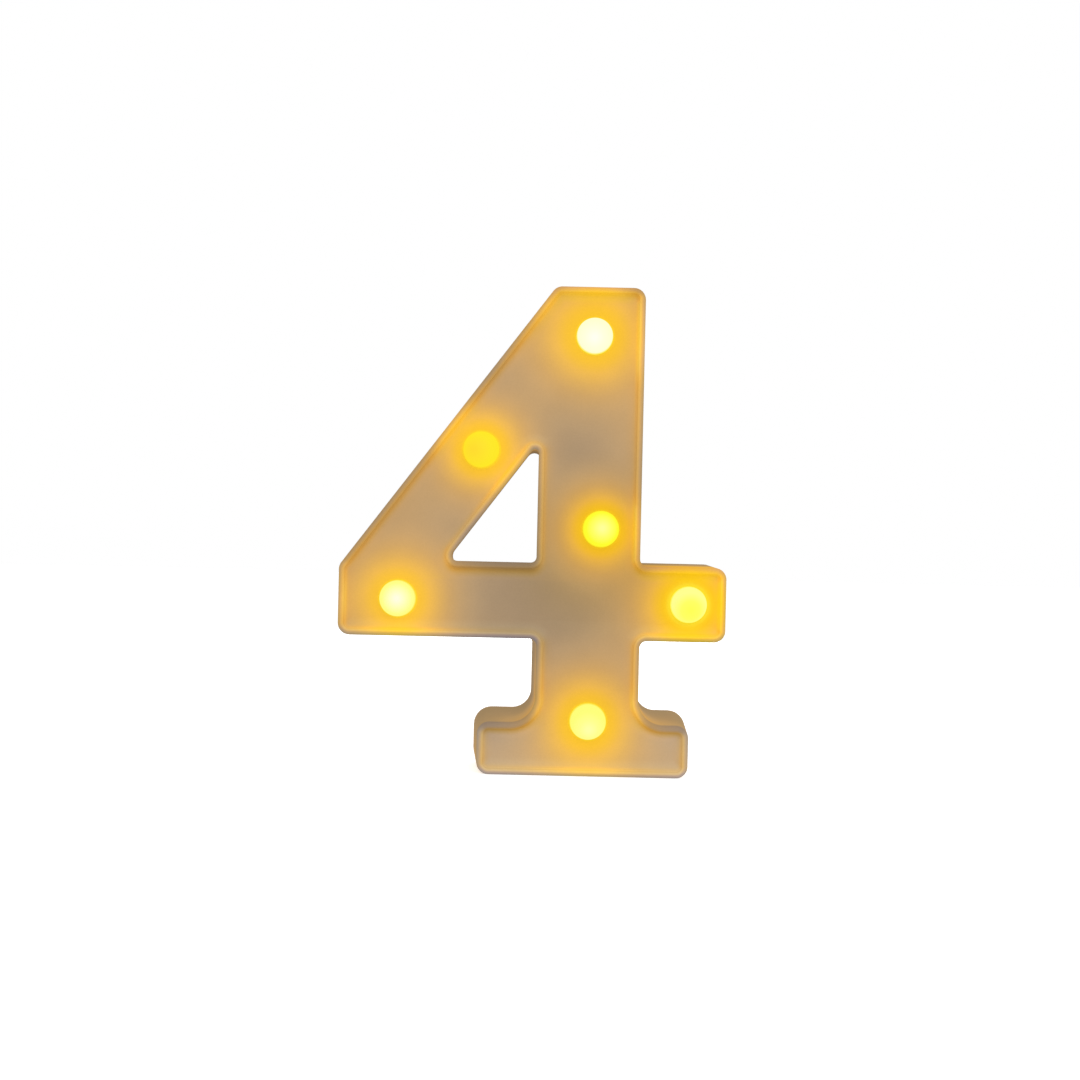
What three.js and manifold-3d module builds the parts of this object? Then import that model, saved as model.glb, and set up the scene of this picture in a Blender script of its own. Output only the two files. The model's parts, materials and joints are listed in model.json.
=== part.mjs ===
// A light-up marquee number four: a hollow plastic shell with a raised rim, six glowing bulb
// caps with their LEDs and wires, and a back cover that carries the battery bay, its hinged
// door with a flexing latch, and the slide switch.
// Millimetres, +Z up. The face looks along -Y and the number stands on its foot at Z = 0.
import * as THREE from "three";
import { mergeVertices } from "three/addons/utils/BufferGeometryUtils.js";
import Module from "manifold-3d";

const wasm = await Module();
wasm.setup();

// Shared gaps and steps
const clearance = 0.3; // between a piece and what it seats on
const overrun = 2; // how far a cutting solid runs past what it cuts
const mergeDistance = 1e-4; // corners closer than this are one corner
const smallestRadius = 0.3; // an offset corner never gets sharper than this
const cornerSteps = 4; // straight steps in a rounded corner
const filletSteps = 7; // in the two large fillets over the foot
const roundSides = 20; // round a bulb cap, an LED holder or a collar
const smallSides = 12; // round a boss, a screw or a lead

// The number's outline, at the front edge
const height = 160;
const width = 126.7; // left point to the end of the right arm
const depth = 30; // rim crest to back edge
const topWidth = 29.1; // the short flat top
const stemWidth = 33.5;
const armReach = 28.4; // right arm, past the stem
const crossbarTop = 69;
const crossbarHeight = 24.3;
const shoulderDrop = 1.7; // the slanted edge ends this far under the crossbar's top
const strokeWidth = 26.7; // of the slanted stroke, square to it
const footHeight = 16.9;
const footLeftReach = 18.4; // past the stem
const footRightReach = 17;
const cornerRadius = 3.8;
const nookRadius = 2.5; // where an arm meets the stem
const footFillet = 8.5;
const lowerStemShift = 0.4; // of the stem under the crossbar, to the right
const holeRadius = 1.8; // lower corners of the triangular gap
const holeTipRadius = 1.2;
const holeRise = 0.6; // of the gap's lower side over the crossbar's top
const holeInset = 0.4; // of its upright side, left of the stem's edge
const draft = 1.5; // how much further out the walls are at the back
const footDraft = 2.4; // on the foot's ends and top
const holeDraft = 1.3; // how much the gap widens to the back
const holeSlantDraft = 1.5; // on its slanted side

// The front shell
const wall = 1.8;
const faceThickness = 2;
const rimWidth = 2;
const rimHeight = 2;
const rimRounding = 1.2;
const rimSteps = 3;
const collarWall = 1.2; // ring behind the face round each bulb
const collarDepth = 5;
const bossDiameter = 6;
const pilotDepth = 9;

// Bulb caps and their places
const bulbDiameter = 12;
const bulbRise = 5; // dome over the recessed face
const capWall = 1.2;
const capFlangeReach = 1.3;
const capFlangeThickness = 1;
const domeSteps = 4;
const topBulbInset = 15.9; // under the top edge
const topBulbShift = 0.4; // to the right of the stem's middle
const stemBulbRise = 12; // over the crossbar's top
const stemBulbShift = 3.8;
const leftBulbInset = 19.3; // from the left end
const rightBulbInset = 12.1; // from the right arm's end
const footBulbRise = 1; // over the foot's top
const footBulbShift = 0.9;
const slantBulbShare = 0.495; // of the slanted stroke, from its top

// LEDs and their holders
const ledDiameter = 5;
const ledLength = 7.6; // flange to tip
const ledFlangeReach = 0.4;
const ledFlangeThickness = 1;
const ledLeadLength = 4;
const ledLeadThickness = 0.5;
const ledLeadPitch = 2.54;
const holderThickness = 2.5;

// The back cover and its screws
const coverThickness = 1.6;
const wellDiameter = 5.4; // the hole that a screw's head goes down
const wellDepth = 5.6;
const wellWall = 1.3;
const screwHeadDiameter = 4.6;
const screwHeadHeight = 1.7;
const screwDiameter = 2.2;
const screwLength = 8;
const screwRecessDepth = 0.8;
const screwRecessWidth = 0.6;
const screwRecessLength = 2.8;
const screwInset = 6.6; // from an outer edge to a screw's middle
const armScrewGap = 3; // from the stem's edge to the right arm's screw
const slantScrewShare = 0.76; // of the slanted stroke, from its top

// Keyhole that the number hangs on
const keyholeDiameter = 8;
const keyholeSlotWidth = 4;
const keyholeSlotLength = 7;
const keyholeInset = 6.6; // to the right of the stem's left edge
const keyholeDrop = 32; // under the top edge

// Two AAA cells side by side
const cellDiameter = 10.5;
const cellLength = 44.5;
const cellButtonDiameter = 3.8;
const cellButtonHeight = 0.9;
const cellSides = 20;
const cellGap = 0.6;

// The battery bay in the cover
const bayLedge = 1.2; // that the door's edge lies on
const bayWall = 2.4;
const bayFloor = 1.2;
const bayCentreHeight = 48;
const cellMargin = 0.4; // round the cells

// Contacts and springs
const contactThickness = 0.4;
const contactWidth = 7;
const contactHeight = 5.8;
const tabWidth = 2;
const tabReach = 1.4; // out under the bay's floor
const springDiameter = 5.6;
const springWire = 0.5;
const springLength = 4.2; // with the cell in place
const springTurns = 3;
const springStepsPerTurn = 8;
const springSides = 5;

// Battery door and its latch
const hingeTabWidth = 3;
const hingeTabReach = 1.1;
const hingeTabThickness = 1;
const latchPocketLength = 5.2;
const latchPocketWidth = 11;
const latchPocketDepth = 8.6;
const latchWidth = 9;
const latchThickness = 1;
const latchNoseHeight = 1;
const latchNoseDrop = 0.5; // from the cover's inner face to the nose
const latchNoseReach = 0.6;
const latchBendDepth = 6.4; // from the cover's inner face to the bend
const fingerNotchRadius = 3;
const gripGrooves = 3;
const gripGrooveWidth = 0.8;
const gripGrooveDepth = 0.4;
const gripGroovePitch = 2;
const gripGrooveLength = 10;

// Slide switch
const switchHeight = 100; // of its middle
const switchPlateLength = 19;
const switchPlateWidth = 6;
const switchPlateThickness = 0.6;
const switchCanLength = 9;
const switchCanDepth = 4.2;
const switchPinLength = 2.6;
const switchPinThickness = 0.6;
const switchPinPitch = 2.6;
const switchPostDiameter = 3.6;
const switchPostHeight = 1.5;
const switchScrewInset = 2.2; // from the plate's end
const switchScrewDiameter = 1.4;
const switchScrewHeadDiameter = 2.8;
const switchScrewHeadHeight = 1;
const switchScrewGrip = 1.6; // screw length past the plate
const knobLength = 4;
const knobWidth = 3;
const knobTravel = 3.2;
const knobSink = 0.1; // knob's top under the cover's face
const knobGrooves = 2;
const knobGrooveWidth = 0.5;
const knobGrooveDepth = 0.3;
const dishLength = 13;
const dishWidth = 7.4;
const dishDepth = 0.7;

// Wires and the resistor
const wireDiameter = 1.2;
const wireSides = 8;
const wireSteps = 12;
const leadWireDiameter = 1;
const resistorDiameter = 2.4;
const resistorLength = 6.4;
const resistorLeadDiameter = 0.6;
const resistorLeadLength = 3;
const resistorHeight = 90.5; // of its middle, under the switch
const slantWireShares = [0.15, 0.35]; // of the slanted stroke, where the first link lies

// Worked out along Y: the bounding box of caps and shell is centred on the origin
const back = (depth + bulbRise - rimHeight) / 2;
const front = back - depth;
const faceFront = front + rimHeight;
const faceBack = faceFront + faceThickness;
const coverInner = back - coverThickness;

// Worked out across the outline
const left = -width / 2;
const right = width / 2;
const stemRight = right - armReach;
const stemLeft = stemRight - stemWidth;
const stemMiddle = (stemLeft + stemRight) / 2;
const topLeft = stemRight - topWidth;
const lowerStemLeft = stemLeft + lowerStemShift;
const lowerStemRight = stemRight + lowerStemShift;
const footLeft = stemLeft - footLeftReach;
const footRight = stemRight + footRightReach;
const crossbarBottom = crossbarTop - crossbarHeight;
const crossbarMiddle = (crossbarTop + crossbarBottom) / 2;
const shoulder = crossbarTop - shoulderDrop;
const holeBottom = crossbarTop + holeRise;
const holeRight = stemLeft - holeInset;

// The slanted stroke runs down from the top's left corner to the shoulder
const slantTop = new THREE.Vector2(topLeft, height);
const slantRun = new THREE.Vector2(left, shoulder).sub(slantTop);
const slantDown = slantRun.clone().normalize();
const slantAcross = new THREE.Vector2(-slantDown.y, slantDown.x);

function onSlant(share) {
  return slantTop.clone().addScaledVector(slantAcross, strokeWidth / 2).addScaledVector(slantRun, share);
}

// The inner edge of the slanted stroke, at a given X or Z
const slantInner = slantTop.clone().addScaledVector(slantAcross, strokeWidth);

function slantInnerAtX(x) {
  return slantInner.y + ((x - slantInner.x) * slantDown.y) / slantDown.x;
}

function slantInnerAtZ(z) {
  return slantInner.x + ((z - slantInner.y) * slantDown.x) / slantDown.y;
}

// Corners run anticlockwise as seen from the front. The edge that starts at a corner moves out
// by its flare from front to back; the foot's underside has none and stays flat.
const corner = (x, z, radius, flare, steps = cornerSteps) => ({ x, z, radius, flare, steps });

const outline = {
  side: 1,
  corners: [
    corner(footLeft, 0, cornerRadius, 0),
    corner(footRight, 0, cornerRadius, footDraft),
    corner(footRight, footHeight, cornerRadius, footDraft),
    corner(lowerStemRight, footHeight, footFillet, draft, filletSteps),
    corner(lowerStemRight, crossbarBottom, nookRadius, draft),
    corner(right, crossbarBottom, cornerRadius, draft),
    corner(right, crossbarTop, cornerRadius, draft),
    corner(stemRight, crossbarTop, nookRadius, draft),
    corner(stemRight, height, cornerRadius, draft),
    corner(topLeft, height, cornerRadius, draft),
    corner(left, shoulder, cornerRadius, draft),
    corner(left, crossbarBottom, cornerRadius, draft),
    corner(lowerStemLeft, crossbarBottom, nookRadius, draft),
    corner(lowerStemLeft, footHeight, footFillet, footDraft, filletSteps),
    corner(footLeft, footHeight, cornerRadius, footDraft),
  ],
};

// The triangular gap has its material outside it, and widens to the back too
const hole = {
  side: -1,
  corners: [
    corner(slantInnerAtZ(holeBottom), holeBottom, holeRadius, holeDraft),
    corner(holeRight, holeBottom, holeRadius, holeDraft),
    corner(holeRight, slantInnerAtX(holeRight), holeTipRadius, holeSlantDraft),
  ],
};

// One ring of points round a form at depth y, set into its material by inset
function ring(form, inset, y) {
  const { corners, side } = form;
  const count = corners.length;
  const share = (y - front) / depth;
  const spreadOf = (edge) => edge.flare * share - side * inset;
  const points = [];
  corners.forEach((here, i) => {
    const before = corners[(i + count - 1) % count];
    const after = corners[(i + 1) % count];
    const into = new THREE.Vector2(here.x - before.x, here.z - before.z).normalize();
    const away = new THREE.Vector2(after.x - here.x, after.z - here.z).normalize();
    const turn = into.cross(away);
    const spreadIn = spreadOf(before);
    const spreadOut = spreadOf(here);
    // where the two moved edges cross
    const tip = new THREE.Vector2(here.x, here.z)
      .addScaledVector(into, spreadOut / turn)
      .addScaledVector(away, -spreadIn / turn);
    const bend = Math.atan2(turn, into.dot(away));
    const spread = (spreadIn + spreadOut) / 2;
    const radius = Math.max(here.radius + Math.sign(turn) * spread, smallestRadius);
    const run = radius * Math.tan(Math.abs(bend) / 2);
    const start = tip.clone().addScaledVector(into, -run);
    const towards = new THREE.Vector2(-into.y, into.x).multiplyScalar(Math.sign(turn));
    const centre = start.clone().addScaledVector(towards, radius);
    for (let k = 0; k <= here.steps; k++) {
      points.push(start.clone().rotateAround(centre, (bend * k) / here.steps));
    }
  });
  return points;
}

// A closed solid through the rings of a form at each station { y, inset }, front to back
function loft(form, stations) {
  const rings = stations.map(({ y, inset }) => ring(form, inset, y));
  const count = rings[0].length;
  const positions = rings.flatMap((points, s) => points.flatMap((p) => [p.x, stations[s].y, p.y]));
  const index = [];
  for (let s = 0; s + 1 < rings.length; s++) {
    for (let i = 0; i < count; i++) {
      const j = (i + 1) % count;
      const near = s * count;
      const far = near + count;
      index.push(near + i, far + j, near + j, near + i, far + i, far + j);
    }
  }
  const last = (rings.length - 1) * count;
  THREE.ShapeUtils.triangulateShape(rings[0], []).forEach(([a, b, c]) => index.push(a, b, c));
  THREE.ShapeUtils.triangulateShape(rings.at(-1), []).forEach(([a, b, c]) =>
    index.push(last + a, last + c, last + b),
  );
  const geometry = new THREE.BufferGeometry();
  geometry.setAttribute("position", new THREE.Float32BufferAttribute(positions, 3));
  geometry.setIndex(index);
  return solidOf(geometry);
}

// A prism of a form with the triangular gap left open
function openLoft(inset, y0, y1) {
  const body = loft(outline, [{ y: y0, inset }, { y: y1, inset }]);
  const gap = loft(hole, [{ y: y0 - overrun, inset }, { y: y1 + overrun, inset }]);
  return body.subtract(gap);
}

function solidOf(geometry) {
  const bare = geometry.clone();
  bare.deleteAttribute("normal");
  bare.deleteAttribute("uv");
  const merged = mergeVertices(bare, mergeDistance);
  const mesh = new wasm.Mesh({
    numProp: 3,
    vertProperties: merged.attributes.position.array,
    triVerts: new Uint32Array(merged.index.array),
  });
  return new wasm.Manifold(mesh);
}

function geometryOf(solid) {
  const mesh = solid.getMesh();
  const geometry = new THREE.BufferGeometry();
  geometry.setAttribute("position", new THREE.BufferAttribute(mesh.vertProperties.slice(), 3));
  geometry.setIndex(new THREE.BufferAttribute(mesh.triVerts.slice(), 1));
  geometry.computeVertexNormals();
  return geometry;
}

const join = (solids) => solids.reduce((whole, next) => whole.add(next));
const cut = (solid, tools) => tools.reduce((rest, tool) => rest.subtract(tool), solid);

// A box between two corners
function block(x0, x1, y0, y1, z0, z1) {
  const box = new THREE.BoxGeometry(x1 - x0, y1 - y0, z1 - z0);
  return solidOf(box.translate((x0 + x1) / 2, (y0 + y1) / 2, (z0 + z1) / 2));
}

// A round bar along Y
function bar(diameter, y0, y1, x = 0, z = 0, sides = smallSides) {
  const cylinder = new THREE.CylinderGeometry(diameter / 2, diameter / 2, y1 - y0, sides);
  return solidOf(cylinder.translate(x, (y0 + y1) / 2, z));
}

// A turned solid about Y. Its profile of [radius, y] goes round its section with y falling
// on the axis side and rising on the outside.
function turned(profile, sides) {
  return solidOf(new THREE.LatheGeometry(profile.map(([r, y]) => new THREE.Vector2(r, y)), sides));
}

// A round wire through a list of points
function wireAlong(points, diameter, steps = wireSteps) {
  const rim = new THREE.Vector2(diameter / 2, 0);
  const corners = Array.from({ length: wireSides }, (_, i) =>
    rim.clone().rotateAround(new THREE.Vector2(), (2 * Math.PI * i) / wireSides),
  );
  const extrudePath = new THREE.CatmullRomCurve3(points, false, "centripetal");
  const options = { steps, bevelEnabled: false, extrudePath };
  return solidOf(new THREE.ExtrudeGeometry(new THREE.Shape(corners), options));
}

// Materials

const plastic = (color, roughness) => new THREE.MeshStandardMaterial({ color, roughness, metalness: 0 });
const metal = (color, roughness) => new THREE.MeshStandardMaterial({ color, roughness, metalness: 1 });

const shellPlastic = () => plastic(0xc9ad82, 0.45);
const coverPlastic = () => plastic(0xd6c2a0, 0.5);
const whitePlastic = () => plastic(0xf0ece2, 0.5);
const wirePlastic = () => plastic(0xe8e4da, 0.6);
const redPlastic = () => plastic(0xb03028, 0.55);
const blackPlastic = () => plastic(0x1c1c1e, 0.5);
const cellWrap = () => plastic(0x3c6e4f, 0.35);
const resistorCoat = () => plastic(0xcdb98c, 0.5);
const steel = () => metal(0xc4c6c8, 0.3);
const nickel = () => metal(0xd2d0c8, 0.25);

function bulbPlastic() {
  const material = plastic(0xfff3c4, 0.35);
  material.emissive = new THREE.Color(0xffe650);
  return material;
}

function ledEpoxy() {
  const material = plastic(0xfff0b0, 0.2);
  material.emissive = new THREE.Color(0xffdc64);
  return material;
}

function piece(name, solid, material) {
  const mesh = new THREE.Mesh(geometryOf(solid), material);
  mesh.name = name;
  return mesh;
}

// Places of the bulbs and the cover's screws, seen from the front

const place = (x, z) => ({ x, z });
const slantBulb = onSlant(slantBulbShare);
const slantScrew = onSlant(slantScrewShare);

const bulbPlaces = [
  place(stemMiddle + topBulbShift, height - topBulbInset),
  place(slantBulb.x, slantBulb.y),
  place(left + leftBulbInset, crossbarMiddle),
  place(stemMiddle + stemBulbShift, crossbarTop + stemBulbRise),
  place(right - rightBulbInset, crossbarMiddle),
  place(stemMiddle + footBulbShift, footHeight + footBulbRise),
];

const screwPlaces = [
  place(stemRight - screwInset, height - screwInset),
  place(slantScrew.x, slantScrew.y),
  place(left + screwInset, crossbarBottom + screwInset),
  place(stemRight + armScrewGap, crossbarMiddle),
  place(footLeft + screwInset, footHeight / 2),
  place(footRight - screwInset, footHeight / 2),
];

// Bulb cap, LED and holder sizes, front to back behind the face

const capFlangeRadius = bulbDiameter / 2 + capFlangeReach;
const capFlangeFront = faceBack + clearance;
const capFlangeBack = capFlangeFront + capFlangeThickness;
const collarRadius = capFlangeRadius + clearance;
const holderFront = capFlangeBack + clearance;
const holderBack = holderFront + holderThickness;
const ledFlangeFront = holderBack + clearance;
const ledFlangeBack = ledFlangeFront + ledFlangeThickness;
const ledLeadEnd = ledFlangeBack + ledLeadLength;
const wirePlane = (ledFlangeBack + ledLeadEnd) / 2;

// Depths at the cover

const wellFloor = back - wellDepth;
const wellEnd = wellFloor - wellWall;
const bossTop = wellEnd - clearance;
const pilotDiameter = screwDiameter + 2 * clearance;

// The battery bay. Cells lie along Z, beside each other across the stem.

const cellPitch = cellDiameter + cellGap;
const cellTop = coverInner - cellMargin;
const cellAxis = cellTop - cellDiameter / 2;
const bayFloorTop = cellAxis - cellDiameter / 2 - cellMargin;
const bayBottom = bayFloorTop - bayFloor;
const bayHalfWidth = (cellPitch + cellDiameter) / 2 + cellMargin;
const endStack = contactThickness + clearance; // a contact and the gap on its far side
const bayLength = clearance + endStack + cellLength + springLength + clearance + endStack + clearance;
const bayLow = bayCentreHeight - bayLength / 2;
const bayHigh = bayCentreHeight + bayLength / 2;
const latchPocketLow = bayHigh + bayLedge;
const latchPocketHigh = latchPocketLow + latchPocketLength;
const openingHalfWidth = bayHalfWidth + bayLedge;
const openingLow = bayLow - bayLedge;
const openingHigh = latchPocketHigh;
const doorHalfWidth = openingHalfWidth - clearance;
const doorLow = openingLow + clearance;
const doorHigh = openingHigh - clearance;
const doorSeat = coverInner - clearance;
const latchPocketFloor = coverInner - latchPocketDepth;
const latchPocketHalfWidth = latchPocketWidth / 2;

// Hinge tabs swing about the door's lower outer edge, and this is how deep they dip
const tabTop = doorSeat;
const tabBottom = tabTop - hingeTabThickness;
const tabSweep = Math.hypot(back - tabBottom, hingeTabReach);
const tabSlotFloor = back - tabSweep - clearance;
const tabShift = bayHalfWidth - hingeTabWidth; // from the bay's middle to a tab's inner side

// The latch's leg stands in the pocket, and its bend is its pivot
const latchOuter = doorHigh - latchNoseReach;
const latchInner = latchOuter - latchThickness;
const latchPivot = coverInner - latchBendDepth;
const springLegHigh = latchPocketLow + clearance + latchThickness;

// The slide switch
const switchPostEnd = coverInner - switchPostHeight;
const switchPlateTop = switchPostEnd - clearance;
const switchPlateBottom = switchPlateTop - switchPlateThickness;
const switchCanBottom = switchPlateBottom - switchCanDepth;
const switchPinEnd = switchCanBottom - switchPinLength;
const switchScrewShift = switchPlateLength / 2 - switchScrewInset;
const knobFloor = switchPlateTop + clearance;
const knobTop = back - knobSink;
const knobAtOn = stemMiddle - knobTravel / 2;

// Front shell: drafted walls, a face set back behind a rounded rim, collars and screw bosses

function rimStations() {
  const stations = [];
  for (let k = 0; k <= rimSteps; k++) {
    const angle = ((k / rimSteps) * Math.PI) / 2;
    stations.push({
      y: front + rimRounding * (1 - Math.cos(angle)),
      inset: rimRounding * (1 - Math.sin(angle)),
    });
  }
  return stations;
}

function frontShell() {
  const stations = rimStations();
  const body = loft(outline, [...stations, { y: back, inset: 0 }]);
  const gap = loft(hole, [
    { y: front - overrun, inset: stations[0].inset },
    ...stations,
    { y: back + overrun, inset: 0 },
  ]);
  const recess = openLoft(rimWidth, front - overrun, faceFront);
  const cavity = openLoft(wall, faceBack, back + overrun);
  const collars = bulbPlaces.map(({ x, z }) =>
    bar(2 * (collarRadius + collarWall), faceFront, faceBack + collarDepth, x, z, roundSides),
  );
  const sockets = bulbPlaces.flatMap(({ x, z }) => [
    bar(2 * collarRadius, faceBack, back, x, z, roundSides),
    bar(bulbDiameter + 2 * clearance, front, back, x, z, roundSides),
  ]);
  const bosses = screwPlaces.map(({ x, z }) => bar(bossDiameter, faceFront, bossTop, x, z));
  const pilots = screwPlaces.map(({ x, z }) =>
    bar(pilotDiameter, bossTop - pilotDepth, bossTop + overrun, x, z),
  );
  const tray = cut(body, [gap, recess, cavity]);
  return cut(join([tray, ...collars, ...bosses]), [...sockets, ...pilots]);
}

// Bulb cap: a hollow dome with a flange behind the face

function bulbCap() {
  const radius = bulbDiameter / 2;
  const innerRadius = radius - capWall;
  const innerRise = bulbRise - capWall;
  const profile = [];
  for (let k = 0; k <= domeSteps; k++) {
    const angle = ((1 - k / domeSteps) * Math.PI) / 2;
    profile.push([radius * Math.cos(angle), faceFront - bulbRise * Math.sin(angle)]);
  }
  profile.push(
    [radius, capFlangeFront],
    [capFlangeRadius, capFlangeFront],
    [capFlangeRadius, capFlangeBack],
    [innerRadius, capFlangeBack],
  );
  for (let k = 0; k <= domeSteps; k++) {
    const angle = ((k / domeSteps) * Math.PI) / 2;
    profile.push([innerRadius * Math.cos(angle), faceFront - innerRise * Math.sin(angle)]);
  }
  return turned(profile, roundSides);
}

function led() {
  const radius = ledDiameter / 2;
  const tip = ledFlangeFront - ledLength;
  const profile = [];
  for (let k = 0; k <= domeSteps; k++) {
    const angle = ((1 - k / domeSteps) * Math.PI) / 2;
    profile.push([radius * Math.cos(angle), tip + radius - radius * Math.sin(angle)]);
  }
  profile.push(
    [radius, ledFlangeFront],
    [radius + ledFlangeReach, ledFlangeFront],
    [radius + ledFlangeReach, ledFlangeBack],
    [0, ledFlangeBack],
  );
  const leads = [-1, 1].map((side) => {
    const x = (side * ledLeadPitch) / 2;
    const half = ledLeadThickness / 2;
    return block(x - half, x + half, ledFlangeFront, ledLeadEnd, -half, half);
  });
  return join([turned(profile, smallSides), ...leads]);
}

function ledHolder() {
  const disc = bar(2 * (collarRadius - clearance), holderFront, holderBack, 0, 0, roundSides);
  return disc.subtract(bar(ledDiameter + 2 * clearance, holderFront - overrun, holderBack + overrun));
}

// Back cover: a plate inside the shell's back edge, with the battery bay, the latch pocket,
// screw wells, switch posts, the knob's dish and slot, and the keyhole

function batteryBay() {
  const outerHalfWidth = bayHalfWidth + bayWall;
  const tub = block(
    stemMiddle - outerHalfWidth,
    stemMiddle + outerHalfWidth,
    bayBottom,
    coverInner,
    bayLow - bayWall,
    bayHigh + bayLedge,
  );
  const pocket = block(
    stemMiddle - latchPocketHalfWidth - bayLedge,
    stemMiddle + latchPocketHalfWidth + bayLedge,
    latchPocketFloor - bayFloor,
    coverInner,
    bayHigh,
    latchPocketHigh + bayLedge,
  );
  return tub.add(pocket);
}

function bayCuts() {
  const cells = block(
    stemMiddle - bayHalfWidth,
    stemMiddle + bayHalfWidth,
    bayFloorTop,
    back + overrun,
    bayLow,
    bayHigh,
  );
  const pocket = block(
    stemMiddle - latchPocketHalfWidth,
    stemMiddle + latchPocketHalfWidth,
    latchPocketFloor,
    back + overrun,
    latchPocketLow,
    latchPocketHigh,
  );
  const door = block(
    stemMiddle - openingHalfWidth,
    stemMiddle + openingHalfWidth,
    doorSeat,
    back + overrun,
    openingLow,
    openingHigh,
  );
  const tabSlots = [-1, 1].map((side) => {
    const inner = stemMiddle + side * (tabShift - clearance);
    const outer = stemMiddle + side * bayHalfWidth;
    return block(
      Math.min(inner, outer),
      Math.max(inner, outer),
      tabSlotFloor,
      coverInner,
      bayLow - bayWall - overrun,
      bayLow + overrun,
    );
  });
  const contactSlots = [-1, 1].map((side) => {
    const x = stemMiddle + (side * cellPitch) / 2;
    const half = tabWidth / 2 + clearance;
    const z = bayHigh - clearance - contactThickness;
    return block(x - half, x + half, bayBottom - overrun, bayFloorTop + overrun, z - clearance, bayHigh);
  });
  const notch = bar(2 * fingerNotchRadius, coverInner - overrun, back + overrun, stemMiddle, openingHigh);
  return [cells, pocket, door, ...tabSlots, ...contactSlots, notch];
}

function keyhole() {
  const x = stemLeft + keyholeInset;
  const z = height - keyholeDrop;
  const from = coverInner - overrun;
  const to = back + overrun;
  const half = keyholeSlotWidth / 2;
  return join([
    bar(keyholeDiameter, from, to, x, z, roundSides),
    block(x - half, x + half, from, to, z, z + keyholeSlotLength),
    bar(keyholeSlotWidth, from, to, x, z + keyholeSlotLength),
  ]);
}

function switchCuts() {
  const slotHalfLength = (knobLength + knobTravel) / 2 + clearance;
  const slotHalfWidth = knobWidth / 2 + clearance;
  const slot = block(
    stemMiddle - slotHalfLength,
    stemMiddle + slotHalfLength,
    coverInner - overrun,
    back + overrun,
    switchHeight - slotHalfWidth,
    switchHeight + slotHalfWidth,
  );
  const dish = block(
    stemMiddle - dishLength / 2,
    stemMiddle + dishLength / 2,
    back - dishDepth,
    back + overrun,
    switchHeight - dishWidth / 2,
    switchHeight + dishWidth / 2,
  );
  return [slot, dish];
}

function backCover() {
  const plate = openLoft(wall + clearance, coverInner, back);
  const wells = screwPlaces.map(({ x, z }) =>
    bar(wellDiameter + 2 * wellWall, wellEnd, coverInner + coverThickness / 2, x, z, roundSides),
  );
  const posts = [-1, 1].map((side) =>
    bar(
      switchPostDiameter,
      switchPostEnd,
      coverInner + coverThickness / 2,
      stemMiddle + side * switchScrewShift,
      switchHeight,
    ),
  );
  const wellHoles = screwPlaces.flatMap(({ x, z }) => [
    bar(wellDiameter, wellFloor, back + overrun, x, z, roundSides),
    bar(pilotDiameter, wellEnd - overrun, wellFloor + overrun, x, z),
  ]);
  const postHoles = [-1, 1].map((side) =>
    bar(
      switchScrewDiameter + 2 * clearance,
      switchPostEnd - overrun,
      switchPlateTop + switchScrewGrip + clearance,
      stemMiddle + side * switchScrewShift,
      switchHeight,
    ),
  );
  const body = join([plate, batteryBay(), ...wells, ...posts]);
  return cut(body, [...bayCuts(), ...wellHoles, ...postHoles, keyhole(), ...switchCuts()]);
}

// Screw with a domed head and a crossed recess, head up along +Y, seated on y = 0

function screw(headDiameter, headHeight, shankDiameter, length) {
  const headRadius = headDiameter / 2;
  const shankRadius = shankDiameter / 2;
  const profile = [
    [0, -length],
    [shankRadius / 2, -length],
    [shankRadius, shankDiameter - length],
    [shankRadius, 0],
    [headRadius, 0],
    [headRadius, headHeight / 2],
    [headRadius / 2, headHeight],
    [0, headHeight],
  ];
  const share = headDiameter / screwHeadDiameter;
  const halfLength = (screwRecessLength * share) / 2;
  const halfWidth = (screwRecessWidth * share) / 2;
  const floor = headHeight - screwRecessDepth * share;
  const top = headHeight + overrun;
  const recess = block(-halfLength, halfLength, floor, top, -halfWidth, halfWidth).add(
    block(-halfWidth, halfWidth, floor, top, -halfLength, halfLength),
  );
  return turned(profile, smallSides).subtract(recess);
}

// Battery cell with its button at the far end of +Z, lying on its own axis

function batteryCell() {
  const radius = cellDiameter / 2;
  const shoulder = cellLength - cellButtonHeight;
  const edge = cellButtonHeight / 2;
  const profile = [
    [0, 0],
    [radius - edge, 0],
    [radius, edge],
    [radius, shoulder - edge],
    [radius - edge, shoulder],
    [cellButtonDiameter / 2, shoulder],
    [cellButtonDiameter / 2, cellLength],
    [0, cellLength],
  ];
  const points = profile.map(([r, y]) => new THREE.Vector2(r, y));
  return solidOf(new THREE.LatheGeometry(points, cellSides).rotateX(Math.PI / 2));
}

// A contact plate with its solder tab, and the one that bridges both cells

function contactPlate() {
  const plate = block(
    -contactWidth / 2,
    contactWidth / 2,
    cellAxis - contactHeight / 2,
    cellAxis + contactHeight / 2,
    0,
    contactThickness,
  );
  const tab = block(-tabWidth / 2, tabWidth / 2, bayBottom - tabReach, cellAxis, 0, contactThickness);
  return plate.add(tab);
}

function bridgePlate() {
  const halfWidth = (cellPitch + contactWidth) / 2;
  return block(
    -halfWidth,
    halfWidth,
    cellAxis - contactHeight / 2,
    cellAxis + contactHeight / 2,
    0,
    contactThickness,
  );
}

// A coil spring along +Z from z = 0, one unbroken wire with flat ends

function springCentre(share) {
  const angle = 2 * Math.PI * springTurns * share;
  const radius = (springDiameter - springWire) / 2;
  const z = springWire / 2 + (springLength - springWire) * share;
  return new THREE.Vector3(radius * Math.cos(angle), radius * Math.sin(angle), z);
}

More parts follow.
